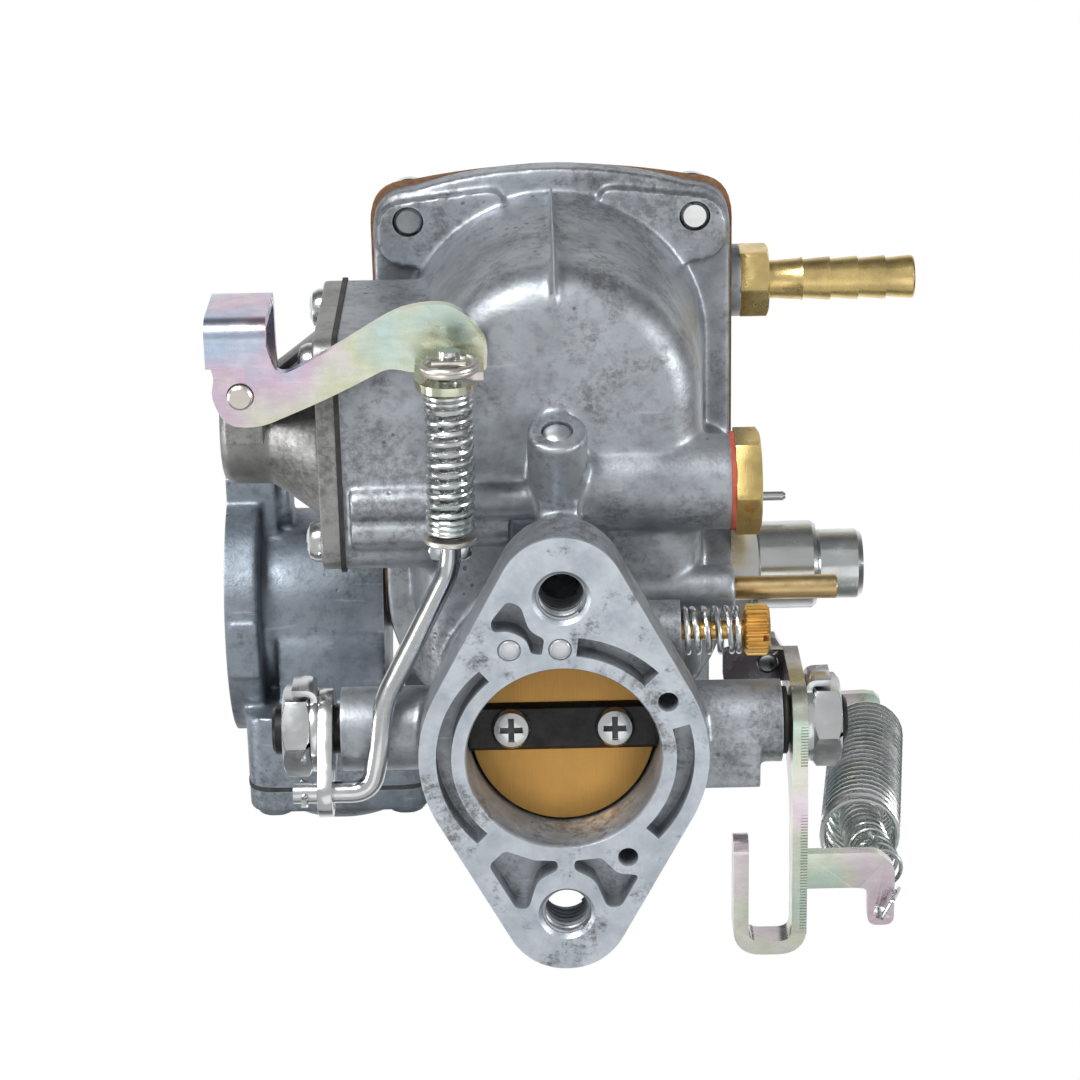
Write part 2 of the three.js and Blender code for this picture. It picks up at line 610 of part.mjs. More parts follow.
function tabWasher(from, to, tabFrom, tabTo) {
  const ring = round('x', 6.7, from, to, [0, SHAFT_Z]);
  const tab = block([tabFrom, tabTo], [-8.1, -6.95], [SHAFT_Z - 3, SHAFT_Z + 3]);
  const root = block([from, to], [-8.1, -4], [SHAFT_Z - 3, SHAFT_Z + 3]);
  return cut(join(ring, root, tab), round('x', SHAFT_RADIUS + 0.1, from - 1, to + 1, [0, SHAFT_Z], 24));
}

const LEVER_X = [35.9, 38.3];
/** Throttle lever: hub plate, stop tab, cable fork and the arm that carries the return springs. */
function throttleLever() {
  const [inner, outer] = LEVER_X;
  const plate = slab('x', outline([
    [-7.6, 8, 3], [-7.6, 25.6, 1], [-2.2, 25.6, 1], [2.5, 20.6, 3], [7.2, 18.5, 3], [12, 10, 4], [36.8, 8, 1.5],
    [36.8, 3, 1.5], [12, 3, 4], [4, 4.4, 3], [-4, 4.4, 3],
  ]), inner, outer, 4);
  const stop = block([26.2, inner + 0.5], [-7.4, -1.8], [24, 25.6]);
  const foot = block([27, inner + 0.5], [34.5, 36.8], [3, 8]);
  const upright = slab('x', roundedRectangle([16.6, 36.8], [3, 8], 2.4), 26.6, 29, 5);
  const arm = block([outer - 0.5, 52.4], [19.6, 25.8], [4.4, 6.4]);
  const hook = block([48, 52.4], [25, 32.6], [4.4, 6.4]);
  return cut(
    join(plate, stop, foot, upright, arm, hook),
    round('x', SHAFT_RADIUS + 0.1, inner - 1, outer + 1, [0, SHAFT_Z], 24),
    round('z', 1.75, 22, 27, [33.4, -5]),
    round('z', 1.1, 3, 8, [50.2, 30.4]),
  );
}

function fastIdleScrew() {
  return join(round('z', 1.6, 23.6, 43, [33.4, -5], 14), hexagon('z', 5.5, 28, 30.6, [33.4, -5]));
}

/** A return spring's envelope: a sleeve along the sloping line between its two anchors. */
function springSleeve(outerRadius, innerRadius, startShare, endShare) {
  const axis = SPRING_ENDS[1].clone().sub(SPRING_ENDS[0]);
  const length = axis.length() * (endShare - startShare);
  const body = sleeve('z', outerRadius, innerRadius, 0, length, [0, 0]);
  const turn = new THREE.Quaternion().setFromUnitVectors(new THREE.Vector3(0, 0, 1), axis.clone().normalize());
  const start = SPRING_ENDS[0].clone().addScaledVector(axis, startShare);
  return solid(geometryOf(body).applyQuaternion(turn).translate(start.x, start.y, start.z));
}

function springBracket() {
  const top = COVER_PLATE_TOP;
  return cut(
    slab('z', outline([[18, 27, 1], [58.8, 25.6, 3], [58.8, 32.4, 3], [18, 34, 1]]), top, top + 1.6, 3),
    round('z', 1.6, top - 1, top + 3, [22, 30.5]),
    round('z', 1.2, top - 1, top + 3, [56, 29.2]),
  );
}

// ---------------------------------------------------------------- automatic choke
/** Choke drum and vacuum chamber in one casting, open towards the cap and the diaphragm. */
function chokeHousing() {
  const vacuum = vacuumOutline();
  return cut(
    join(
      round('x', 17, -54, -31, CHOKE_DRUM_AXIS),
      round('x', 23.2, -58.6, -52.6, CHOKE_DRUM_AXIS),
      block([-58.6, -50], [-18.6, -6], [79, 91]),
      slab('y', vacuum, 20, 33.4, 5),
      block([-50, -31], [10, 24], [64, 98]),
    ),
    round('x', 20.8, -60, -55.9, CHOKE_DRUM_AXIS),
    round('x', 13, -60, -36, CHOKE_DRUM_AXIS),
    round('x', 2.15, -60, -29, CHOKE_SHAFT_AXIS, 16),
    round('y', 11.5, 27.5, 34, VACUUM_CENTRE),
    round('y', 1.2, 20, 28, VACUUM_CENTRE),
  );
}

function vacuumOutline() {
  return outline([[-56, 60.5, 5], [-23.6, 60.5, 5], [-23.6, 84, 6], [-30, 91.5, 5], [-50, 91.5, 5], [-56, 84, 6]]);
}

function vacuumCover() {
  return cut(
    join(
      slab('y', vacuumOutline(), 34.2, 38.4, 5),
      round('y', 12.6, 38, 41.6, VACUUM_CENTRE),
      ...[[-51.5, 66], [-28, 66], [-39.5, 88.6]].map((at) => round('y', 2.6, 38, 40.2, at)),
    ),
    round('y', 11, 33, 39.6, VACUUM_CENTRE),
  );
}

function chokeCap() {
  return cut(
    join(
      round('x', 20.6, -57.5, -55.9, CHOKE_DRUM_AXIS),
      round('x', 16.6, -58.5, -57.4, CHOKE_DRUM_AXIS),
      sleeve('x', 12.6, 11.4, -56.4, -51, CHOKE_DRUM_AXIS),
    ),
    round('x', 11.4, -57.2, -50, CHOKE_DRUM_AXIS),
  ).add(round('x', 1.6, -57.4, -50.6, CHOKE_DRUM_AXIS));
}

function chokeRing() {
  const [y, z] = CHOKE_DRUM_AXIS;
  const tabs = [90, 210, 330].map((degrees) => {
    const angle = THREE.MathUtils.degToRad(degrees);
    return round('x', 1.5, -58.6, -57.6, [y + 18.7 * Math.cos(angle), z + 18.7 * Math.sin(angle)]);
  });
  return join(sleeve('x', 20.5, 16.8, -58.2, -57.5, CHOKE_DRUM_AXIS), ...tabs);
}

/** Flat spiral of the bimetal strip, wound around the post in the cap. */
function chokeCoil() {
  const [y, z] = CHOKE_DRUM_AXIS;
  const turns = 3;
  const steps = 36;
  const thickness = 0.6;
  const innerRadius = 1.9;
  const pitch = 2.1;
  const edge = (offset) => Array.from({ length: steps + 1 }, (_, i) => {
    const angle = (i / steps) * turns * 2 * Math.PI;
    const radius = innerRadius + (angle / (2 * Math.PI)) * pitch + offset;
    return [y + radius * Math.cos(angle), z + radius * Math.sin(angle)];
  });
  return slab('x', outline([...edge(0), ...edge(thickness).reverse()]), -55.4, -51.8, 1);
}

/** Choke spindle with its slot for the plate and the cranked lever inside the drum. */
function chokeShaft() {
  const [y, z] = CHOKE_SHAFT_AXIS;
  const bar = round('x', 2, -50, 28, CHOKE_SHAFT_AXIS, 16);
  const lever = slab('x', linkOutline([y, z], 3.4, [y, z - 8.5], 2), -50, -48.4, 5);
  const slot = solid(geometryOf(block([-17.4, 17.4], [-3, 3], [-0.55, 0.55])).rotateX(CHOKE_TILT).translate(0, y, z));
  return cut(join(bar, lever), slot);
}

const CHOKE_TILT = THREE.MathUtils.degToRad(8);
function chokePlate() {
  const [y, z] = CHOKE_SHAFT_AXIS;
  const sheet = block([-22, 22], [-28, 28], [-0.45, 0.45]);
  const tilted = solid(geometryOf(sheet).rotateX(CHOKE_TILT).translate(0, y, z));
  return tilted.intersect(round('z', HORN_BORE_RADIUS - 0.7, 70, HORN_TOP, [0, 0], 40));
}

// ---------------------------------------------------------------- assembly
const carburetor = new THREE.Group();

function piece(name, body, material) {
  const mesh = new THREE.Mesh(geometryOf(body), material);
  mesh.name = name;
  carburetor.add(mesh);
}

piece('body_casting', bodyCasting(), CASTING);
piece('top_cover', topCover(), CASTING);
piece('cover_gasket', coverGasket(), GASKET);
COVER_SCREWS.forEach((at, i) => piece(`cover_screw_${i + 1}`, coverScrew(at, i < 2 ? JOINT_Z - 6.4 : 59), ZINC));
piece('venturi', venturi(), CASTING);

piece('float', floatBody(), PLASTIC);
piece('float_pin', round('x', 1.2, -10.5, 10.5, FLOAT_PIN), ZINC);
piece('needle_valve', floatNeedle(), BRASS);
piece('needle_seat', needleSeat(), BRASS);
piece('main_jet', mainJet(), BRASS);

piece('main_jet_plug', jetPlug(), BRASS);
piece('plug_washer', sleeve('x', 8, 3.7, 27.5, 28.3, JET_AXIS), FIBRE);
piece('fuel_inlet_barb', fuelBarb(), BRASS);
piece('idle_cutoff_valve', idleValve(), ZINC);
piece('idle_cutoff_plunger', idlePlunger(), ZINC);
piece('vacuum_tube', sleeve('x', 1.95, 1.2, 22, 45, TUBE_AXIS), BRONZE);
piece('breather_pin', round('x', 0.8, 27, 38.6, BREATHER_AXIS, 12), ZINC);
piece('mixture_screw', mixtureScrew(), BRONZE);
piece('mixture_spring', sleeve('x', 4, 3, 18.9, 28.9, MIXTURE_AXIS), ZINC);

piece('pump_cover', pumpCover(), DARK_CASTING);
piece('pump_diaphragm', pumpDiaphragm(), RUBBER);
PUMP_SCREWS.forEach((at, i) => piece(`pump_cover_screw_${i + 1}`, pumpCoverScrew(at), ZINC));
piece('pump_plunger', pumpPlunger(), ZINC);
piece('pump_return_spring', sleeve('x', 6, 5, -33.6, -28, [PUMP.y, PUMP.z]), ZINC);
piece('pump_lever', pumpLever(), ZINC);
piece('pump_lever_pin', round('z', 2, LEVER_Z - 1.2, 44, [LEVER_PIN.x, LEVER_PIN.y], 16), ZINC);
piece('pump_rod', pumpRod(), ZINC);
piece('rod_spring', sleeve('y', 3.95, 2.4, -55.6, -31.8, [ROD_X - 0.1, ROD_Z - 0.1]), ZINC);
piece('rod_washer', sleeve('y', 4.4, 2.2, -31.5, -30.6, [ROD_X - 0.3, ROD_Z - 0.3]), ZINC);
piece('rod_clip', sleeve('y', 3.9, 2.1, -59.6, -57.6, [ROD_X + 0.2, ROD_Z]), ZINC);
piece('rod_cotter', round('z', 0.65, ARM_PIN.z - 3, ARM_PIN.z + 3, [-40.6, ARM_PIN.y], 10), ZINC);

piece('throttle_shaft', throttleShaft(), BLACK);
piece('throttle_plate', throttlePlate(), BRONZE);
[-8.2, 8.2].forEach((x, i) => piece(`plate_screw_${i + 1}`, plateScrew(x), ZINC));
piece('pump_arm', pumpArm(), ZINC);
piece('left_tab_washer', tabWasher(-39.8, -38.6, -42.6, -38.6), ZINC);
piece('left_nut', shaftNut(-44.2, -39.8), ZINC);
piece('right_shaft_seal', sleeve('x', 5.4, 4.05, 34.6, 35.6, [0, SHAFT_Z]), RUBBER);
piece('throttle_lever', throttleLever(), ZINC);
piece('right_tab_washer', tabWasher(38.3, 39.4, 38.3, 42.6), ZINC);
piece('right_nut', shaftNut(39.4, 43.9), ZINC);
piece('fast_idle_screw', fastIdleScrew(), ZINC);
piece('outer_return_spring', springSleeve(6.6, 5.3, 0.02, 1), ZINC);
piece('inner_return_spring', springSleeve(4.4, 3.4, 0.02, 0.97), ZINC);
piece('spring_bracket', springBracket(), ZINC);

piece('choke_shaft', chokeShaft(), ZINC);
piece('choke_plate', chokePlate(), BRONZE);
piece('choke_housing', chokeHousing(), CASTING);
piece('choke_cap', chokeCap(), PLASTIC);
piece('choke_ring', chokeRing(), ZINC);
piece('choke_coil', chokeCoil(), BRONZE);
piece('vacuum_diaphragm', slab('y', vacuumOutline(), 33.4, 34.2, 5), RUBBER);
piece('vacuum_cover', vacuumCover(), CASTING);

export default carburetor;
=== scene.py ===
# Carburetor: the finished look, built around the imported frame.
# The helpers take millimetres, Blender holds metres.
from math import acos, atan2, cos, degrees, hypot, pi, radians, sin, sqrt

import bmesh
import bpy
from mathutils import Matrix, Vector


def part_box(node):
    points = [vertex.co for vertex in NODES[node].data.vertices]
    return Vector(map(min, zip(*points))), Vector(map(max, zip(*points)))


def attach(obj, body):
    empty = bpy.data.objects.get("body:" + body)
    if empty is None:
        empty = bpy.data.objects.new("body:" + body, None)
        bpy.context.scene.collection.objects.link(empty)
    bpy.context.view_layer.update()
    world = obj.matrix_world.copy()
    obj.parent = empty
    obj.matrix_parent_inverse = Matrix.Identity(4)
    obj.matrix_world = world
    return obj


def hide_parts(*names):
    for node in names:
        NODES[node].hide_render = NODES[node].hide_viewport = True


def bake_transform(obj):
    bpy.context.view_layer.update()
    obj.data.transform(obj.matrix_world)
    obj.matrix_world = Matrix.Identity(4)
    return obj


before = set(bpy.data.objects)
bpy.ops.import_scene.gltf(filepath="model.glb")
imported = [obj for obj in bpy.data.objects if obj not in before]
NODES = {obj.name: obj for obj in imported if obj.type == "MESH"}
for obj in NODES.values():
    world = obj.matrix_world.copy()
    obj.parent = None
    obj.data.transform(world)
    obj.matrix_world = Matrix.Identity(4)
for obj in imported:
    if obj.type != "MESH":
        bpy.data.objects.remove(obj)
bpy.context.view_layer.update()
MM = 0.001
ROOT = "carburetor_body"

# ---- places, in millimetres, from the frame
def mm_box(node):
    low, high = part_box(node)
    return [v / MM for v in low], [v / MM for v in high]


def middle(node):
    low, high = mm_box(node)
    return [(a + b) / 2 for a, b in zip(low, high)]


def span(node, axis):
    low, high = mm_box(node)
    return low[axis], high[axis]


BORE = 15.0
SHAFT_Z = middle("throttle_shaft")[2]
SHAFT_R = 3.9
SHAFT = (0, SHAFT_Z)
TILT = radians(-13)
STUD_Y = 27.0
JOINT_Z = span("cover_gasket", 2)[0]
COVER_Z = span("cover_gasket", 2)[1]
COVER_TOP = COVER_Z + 5.4
HORN_TOP = span("top_cover", 2)[1]
PUMP = (middle("pump_diaphragm")[1], middle("pump_diaphragm")[2])
PAD_X = span("pump_diaphragm", 0)[1]
PIN = middle("pump_lever_pin")[:2]
LINK = (6.5, 3.5)
JET = middle("plug_washer")[1:]
MIXTURE = middle("mixture_screw")[1:]
TUBE = middle("vacuum_tube")[1:]
VALVE = middle("idle_cutoff_valve")[1:]
INLET = middle("fuel_inlet_barb")[1:]
CHOKE = (4.0, 88.0)
DRUM = middle("choke_cap")[1:]
SCREWS = [middle(f"cover_screw_{i}")[:2] for i in (1, 2, 3, 4)]
SCREW_HOLE_R = 2.6
PAD = ((PUMP[0] - 19.5, PUMP[0] + 19.5), (26, 64), 4)
PUMP_SCREWS = [middle(f"pump_cover_screw_{i}")[1:] for i in (1, 2, 3, 4)]
PLUGS = ((-8.1, -18.5), (-0.3, -18.5))
BOWL_Y = -47.0

# ---- shapes: (vertices, faces) in millimetres
AXES = {"x": (1, 2, 0), "y": (2, 0, 1), "z": (0, 1, 2)}


def put(axis, u, v, w):
    """A point from two coordinates across an axis and one along it."""
    point = [0.0, 0.0, 0.0]
    first, second, along = AXES[axis]
    point[first], point[second], point[along] = u, v, w
    return point


def prism(axis, outline, start, end):
    """An outline across an axis, drawn out along it. For y the outline is (z, x)."""
    count = len(outline)
    points = [put(axis, u, v, start) for u, v in outline] + [put(axis, u, v, end) for u, v in outline]
    faces = [(i, (i + 1) % count, count + (i + 1) % count, count + i) for i in range(count)]
    return points, faces + [tuple(reversed(range(count))), tuple(range(count, 2 * count))]


def arc(cx, cy, radius, start, end, count):
    step = radians(end - start) / (count - 1)
    angles = [radians(start) + i * step for i in range(count)]
    return [(cx + radius * cos(a), cy + radius * sin(a)) for a in angles]


def circle(cx, cy, radius, count=64, turn=0.0):
    angles = [turn + 2 * pi * i / count for i in range(count)]
    return [(cx + radius * cos(a), cy + radius * sin(a)) for a in angles]


def cross(axis, at):
    """The order in which prism and turned take the two coordinates of a centre line."""
    return (at[1], at[0]) if axis == "y" else (at[0], at[1])


def rod(axis, radius, start, end, at=(0, 0), count=64):
    return prism(axis, circle(*cross(axis, at), radius, count), start, end)


def box3(x, y, z):
    return prism("z", [(x[0], y[0]), (x[1], y[0]), (x[1], y[1]), (x[0], y[1])], z[0], z[1])


def turn_through(first, corner, last, steps):
    """Vectors from first to last that lean towards the corner."""
    shares = [k / steps for k in range(steps + 1)]
    return [first * (1 - t) ** 2 + corner * (2 * t * (1 - t)) + last * t**2 for t in shares]


def rounded(points, steps=8):
    """A closed outline of (x, y, radius) points with each corner as a curve."""
    result = []
    count = len(points)
    for i, (x, y, radius) in enumerate(points):
        corner = Vector((x, y))
        before = Vector(points[i - 1][:2]) - corner
        after = Vector(points[(i + 1) % count][:2]) - corner
        reach = min(radius, 0.48 * before.length, 0.48 * after.length)
        if reach < 1e-6:
            result.append((x, y))
            continue
        first = corner + before.normalized() * reach
        last = corner + after.normalized() * reach
        result += [tuple(point) for point in turn_through(first, corner, last, steps)]
    return result


def rounded_box(u, v, radius, steps=8):
    return rounded([(u[0], v[0], radius), (u[1], v[0], radius), (u[1], v[1], radius), (u[0], v[1], radius)],
        steps)


def turned(axis, profile, at=(0, 0), count=64):
    """A body of revolution from (radius, along) points, from axis to axis or closed on itself."""
    cu, cv = cross(axis, at)
    ring = profile[0][0] > 1e-6
    points, rows = [], []
    for radius, along in profile:
        if radius < 1e-6:
            rows.append([len(points)] * count)
            points.append(put(axis, cu, cv, along))
            continue
        rows.append(list(range(len(points), len(points) + count)))
        points += [put(axis, u, v, along) for u, v in circle(cu, cv, radius, count)]
    faces = []
    pairs = list(zip(rows, rows[1:]))
    if ring:
        pairs.append((rows[-1], rows[0]))
    for low, high in pairs:
        for i in range(count):
            j = (i + 1) % count
            corners = list(dict.fromkeys((low[i], low[j], high[j], high[i])))
            if len(corners) > 2:
                faces.append(tuple(corners))
    return points, faces


def tube(path, radius, sides=12):
    """A round bar along a list of points, with closed ends."""
    points = [Vector(p) for p in path]
    last = len(points) - 1
    heading = (points[1] - points[0]).normalized()
    side = heading.orthogonal().normalized()
    verts, faces = [], []
    for i, point in enumerate(points):
        tangent = (points[min(i + 1, last)] - points[max(i - 1, 0)]).normalized()
        side = (side - tangent * side.dot(tangent)).normalized()
        up = tangent.cross(side)
        for k in range(sides):
            angle = 2 * pi * k / sides
            verts.append(tuple(point + (side * cos(angle) + up * sin(angle)) * radius))
    for i in range(last):
        for k in range(sides):
            a, b = i * sides + k, i * sides + (k + 1) % sides
            faces.append((a, b, b + sides, a + sides))
    faces.append(tuple(reversed(range(sides))))
    faces.append(tuple(last * sides + k for k in range(sides)))
    return verts, faces


def bend(points, radius, steps=8):
    """A path of straight stretches with rounded bends."""
    corners = [Vector(p) for p in points]
    path = [corners[0]]
    for before, corner, after in zip(corners, corners[1:], corners[2:]):
        first = corner + (before - corner).normalized() * radius
        last = corner + (after - corner).normalized() * radius
        path += turn_through(first, corner, last, steps)
    return path + [corners[-1]]


def helix(start, end, radius, pitches, per_turn=28):
    """Coil points from start to end; pitches gives each turn's share of the length."""
    start, end = Vector(start), Vector(end)
    axis = (end - start).normalized()
    side = axis.orthogonal().normalized()
    up = axis.cross(side)
    total = sum(pitches)
    path, done = [], 0.0
    for pitch in pitches:
        for k in range(per_turn):
            share = (done + pitch * k / per_turn) / total
            angle = 2 * pi * k / per_turn
            centre = start.lerp(end, share)
            path.append(centre + (side * cos(angle) + up * sin(angle)) * radius)
        done += pitch
    return path + [end + side * radius]


def merge(*shapes):
    points, faces = [], []
    for verts, polygons in shapes:
        offset = len(points)
        points += verts
        faces += [tuple(i + offset for i in polygon) for polygon in polygons]
    return points, faces


def tilted(shape, angle=TILT, height=SHAFT_Z):
    """A shape built flat at the origin, turned about X and raised to the shaft."""
    c, s = cos(angle), sin(angle)
    verts = [(x, y * c - z * s, y * s + z * c + height) for x, y, z in shape[0]]
    return verts, shape[1]


# ---- pieces
def make(name, shape, material, body=ROOT, node="", sharp=32):
    """Turns a shape into a finished piece."""
    return finish_piece(raw(name, shape), material, body, node, sharp)


def new_object(name, data):
    obj = bpy.data.objects.new(name, data)
    bpy.context.scene.collection.objects.link(obj)
    return obj


def raw(name, shape):
    """An object in metres from a shape in millimetres, with its faces turned outwards."""
    mesh = bpy.data.meshes.new(name)
    mesh.from_pydata([tuple(c * MM for c in v) for v in shape[0]], [], shape[1])
    mesh.validate()
    skin = bmesh.new()
    skin.from_mesh(mesh)
    bmesh.ops.recalc_face_normals(skin, faces=skin.faces)
    skin.to_mesh(mesh)
    skin.free()
    return new_object(name, mesh)


def modify(obj, kind, **settings):
    """Adds a modifier and bakes it into the mesh."""
    modifier = obj.modifiers.new(kind.lower(), kind)
    for key, value in settings.items():
        setattr(modifier, key, value)
    bpy.context.view_layer.update()
    graph = bpy.context.evaluated_depsgraph_get()
    mesh = bpy.data.meshes.new_from_object(obj.evaluated_get(graph))
    obj.modifiers.clear()
    old = obj.data
    obj.data = mesh
    bpy.data.meshes.remove(old)


def soften(obj, width, sharp=40):
    """Rounds the edges that are sharper than an angle in degrees."""
    modify(obj, "BEVEL", width=width * MM, segments=2, limit_method="ANGLE", angle_limit=radians(sharp))


def finish_piece(obj, material, body=ROOT, node="", sharp=32):
    """Shades a piece, hangs it on its body and hides the CAD node that it stands for."""
    obj.data.materials.clear()
    obj.data.materials.append(material)
    for polygon in obj.data.polygons:
        polygon.use_smooth = True
    obj.data.set_sharp_from_angle(angle=radians(sharp))
    if body:
        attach(obj, body)
    if node:
        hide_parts(node)
    return obj


def carve(obj, shape, operation="DIFFERENCE"):
    """Cuts a shape out of an object, or joins it to it."""
    cutter = raw("cutter", shape)
    modify(obj, "BOOLEAN", object=cutter, operation=operation, solver="EXACT")
    mesh = cutter.data
    bpy.data.objects.remove(cutter)
    bpy.data.meshes.remove(mesh)


def casting(name, solids, cuts, material, node, voxel=0.5, rounds=6):
    """Sand-smooth casting: solids melted together with soft edges, then machined by the cuts."""
    obj = raw(name, merge(*solids))
    modify(obj, "REMESH", mode="VOXEL", voxel_size=voxel * MM, adaptivity=0.0)
    modify(obj, "SMOOTH", factor=0.6, iterations=rounds)
    for group in cuts:
        carve(obj, merge(*group))
    finish_piece(obj, material, ROOT, node, 40)


# ---- materials
class Nodes:
    """A node tree, with short calls for the textures that every finish here uses."""

    def __init__(self, owner, coordinates="Object"):
        owner.use_nodes = True
        self.owner = owner
        self.tree = owner.node_tree
        self.where = self.node("TexCoord").outputs[coordinates]

    def feed(self, socket, value):
        """Gives a socket a number or a vector, or links it to another node's output."""
        if isinstance(value, bpy.types.NodeSocket):
            self.tree.links.new(value, socket)
        else:
            socket.default_value = value

    def node(self, kind, **inputs):
        """A new node; an input's name has _ where the socket's name has a space."""
        made = self.tree.nodes.new("ShaderNode" + kind)
        for name, value in inputs.items():
            self.feed(made.inputs[name.replace("_", " ")], value)
        return made

    def stretched(self, scale):
        return self.node("Mapping", Scale=scale, Vector=self.where).outputs["Vector"]

    def noise(self, scale, detail=4.0, roughness=0.6, vector=None):
        where = vector or self.where
        return self.node("TexNoise", Scale=scale, Detail=detail, Roughness=roughness,
            Vector=where).outputs["Fac"]

    def spots(self, scale, radius, softness):
        """1 inside small round spots, 0 elsewhere."""
        distance = self.node("TexVoronoi", Scale=scale, Vector=self.where).outputs["Distance"]
        return self.spread(distance, radius + softness, radius)

    def spread(self, value, low, high, to_low=0.0, to_high=1.0):
        """Maps low..high to to_low..to_high."""
        made = self.node("MapRange", From_Min=low, From_Max=high, To_Min=to_low, To_Max=to_high, Value=value)
        return made.outputs["Result"]

    def ramp(self, value, stops):
        """Colours by value, from (place, colour) stops."""
        made = self.node("ValToRGB", Fac=value)
        while len(made.color_ramp.elements) < len(stops):
            made.color_ramp.elements.new(0.5)
        for element, (place, color) in zip(made.color_ramp.elements, stops):
            element.position = place
            element.color = (*color, 1)
        return made.outputs["Color"]

    def mix(self, share, first, second):
        made = self.node("Mix")
        made.data_type = "RGBA"
        self.feed(made.inputs["Factor"], share)
        for socket, value in ((made.inputs[6], first), (made.inputs[7], second)):
            self.feed(socket, (*value, 1) if isinstance(value, tuple) else value)
        return made.outputs[2]

    def math(self, operation, first, second, kind="Math"):
        made = self.node(kind)
        made.operation = operation
        self.feed(made.inputs[0], first)
        self.feed(made.inputs[1], second)
        return made.outputs["Value"]

    def dot(self, first, second):
        return self.math("DOT_PRODUCT", first, second, "VectorMath")


class Finish(Nodes):
    """A material: the shader's own values, then the linked colour, roughness and bump."""

    def __init__(self, name, metallic, roughness):
        super().__init__(bpy.data.materials.new(name))
        self.shader = self.tree.nodes["Principled BSDF"]
        self.shader.inputs["Metallic"].default_value = metallic
        self.shader.inputs["Roughness"].default_value = roughness

    def color(self, value):
        self.feed(self.shader.inputs["Base Color"], value)

    def rough(self, value):
        self.feed(self.shader.inputs["Roughness"], value)

    def bump(self, height, distance_mm):
        normal = self.node("Bump", Distance=distance_mm * MM, Strength=1.0, Height=height).outputs["Normal"]
        self.feed(self.shader.inputs["Normal"], normal)

    def edges(self):
        """A painted highlight: lighter along every sharp edge, from the angle between the true and a rounded
        normal.
        """
        bevel = self.node("Bevel", Radius=0.5 * MM)
        bevel.samples = 4
        true_normal = self.node("NewGeometry").outputs["Normal"]
        return self.spread(self.dot(bevel.outputs["Normal"], true_normal), 0.995, 0.9)


def cast_zinc(name, dark, light, bump=0.04):
    """Die-cast zinc: mottled stains, fine pits, a few scratches and a painted highlight along every sharp
    edge; its lowest face is cleaner and brighter.
    """
    n = Finish(name, 0.8, 0.4)
    stains = n.ramp(n.noise(55, 6, 0.62), [(0.3, dark), (0.52, light),
        (0.78, tuple(1.22 * c for c in light))])
    base = n.mix(n.spread(n.noise(420, 5, 0.72), 0.48, 0.72, 0.0, 0.55), stains, tuple(0.7 * c for c in dark))
    pits = n.math("MULTIPLY", n.spots(420, 0.1, 0.08), n.spread(n.noise(90, 2), 0.54, 0.62))
    soiled = n.mix(n.math("MULTIPLY", pits, 0.6), base, (0.05, 0.05, 0.055))
    lines = n.spread(n.noise(70, 3, 0.5, n.stretched((1.0, 11.0, 3.0))), 0.69, 0.71)
    marked = n.mix(n.math("MULTIPLY", lines, 0.16), soiled, (0.7, 0.72, 0.75))
    patches = n.spread(n.noise(48, 6, 0.75), 0.53, 0.58)
    smudge = n.math("MULTIPLY", patches, n.spread(n.noise(800, 5, 0.8), 0.4, 0.58))
    smudged = n.mix(n.math("MULTIPLY", smudge, 0.5), marked, (0.06, 0.055, 0.05))
    height = n.node("SeparateXYZ", Vector=n.where).outputs["Z"]
    face = n.spread(height, 0.9 * MM, 0.2 * MM)
    worn = n.ramp(n.noise(160, 5, 0.65), [(0.3, (0.36, 0.41, 0.46)), (0.6, (0.56, 0.6, 0.65))])
    clean = n.mix(n.math("MULTIPLY", smudge, 0.75), worn, (0.08, 0.075, 0.07))
    whole = n.mix(face, smudged, clean)
    # Painted highlight: sharp edges are mixed towards pale grey.
    n.color(n.mix(n.math("MULTIPLY", n.edges(), 0.28), whole, (0.7, 0.72, 0.75)))
    n.rough(n.spread(n.noise(180, 5, 0.7), 0.3, 0.7, 0.36, 0.56))
    grain = n.math("ADD", n.noise(1300, 3, 0.6), n.math("MULTIPLY", n.noise(260, 3), 0.8))
    n.bump(n.math("SUBTRACT", grain, n.math("MULTIPLY", pits, 1.4)), bump)
    return n.owner


def plated_steel(name, tints, roughness=0.24):
    """Zinc-plated pressed steel with the faint pink, green and yellow of its passivation."""
    n = Finish(name, 1.0, roughness)
    drift = n.noise(55, 2, 0.5)
    places = [0.3, 0.42, 0.5, 0.58, 0.7]
    base = n.ramp(drift, list(zip(places, tints)))
    streaks = n.noise(240, 4, 0.6, n.stretched((1.0, 5.0, 1.0)))
    n.color(n.mix(n.spread(streaks, 0.35, 0.75, 0.0, 0.3), base, (0.78, 0.8, 0.82)))
    n.rough(n.spread(n.noise(300, 4), 0.3, 0.7, roughness - 0.07, roughness + 0.1))
    n.bump(n.noise(900, 3), 0.012)
    return n.owner


def turned_brass(name, color, roughness=0.24):
    """Brass off the lathe: fine rings, small tarnish clouds."""
    n = Finish(name, 1.0, roughness)
    tarnished, bright = tuple(0.72 * c for c in color), tuple(min(1, 1.08 * c) for c in color)
    n.color(n.ramp(n.noise(150, 5, 0.6), [(0.3, tarnished), (0.6, color), (0.8, bright)]))
    n.rough(n.spread(n.noise(400, 3), 0.3, 0.7, roughness - 0.05, roughness + 0.12))
    n.bump(n.noise(500, 4, 0.6, n.stretched((9.0, 1.0, 1.0))), 0.02)
    return n.owner


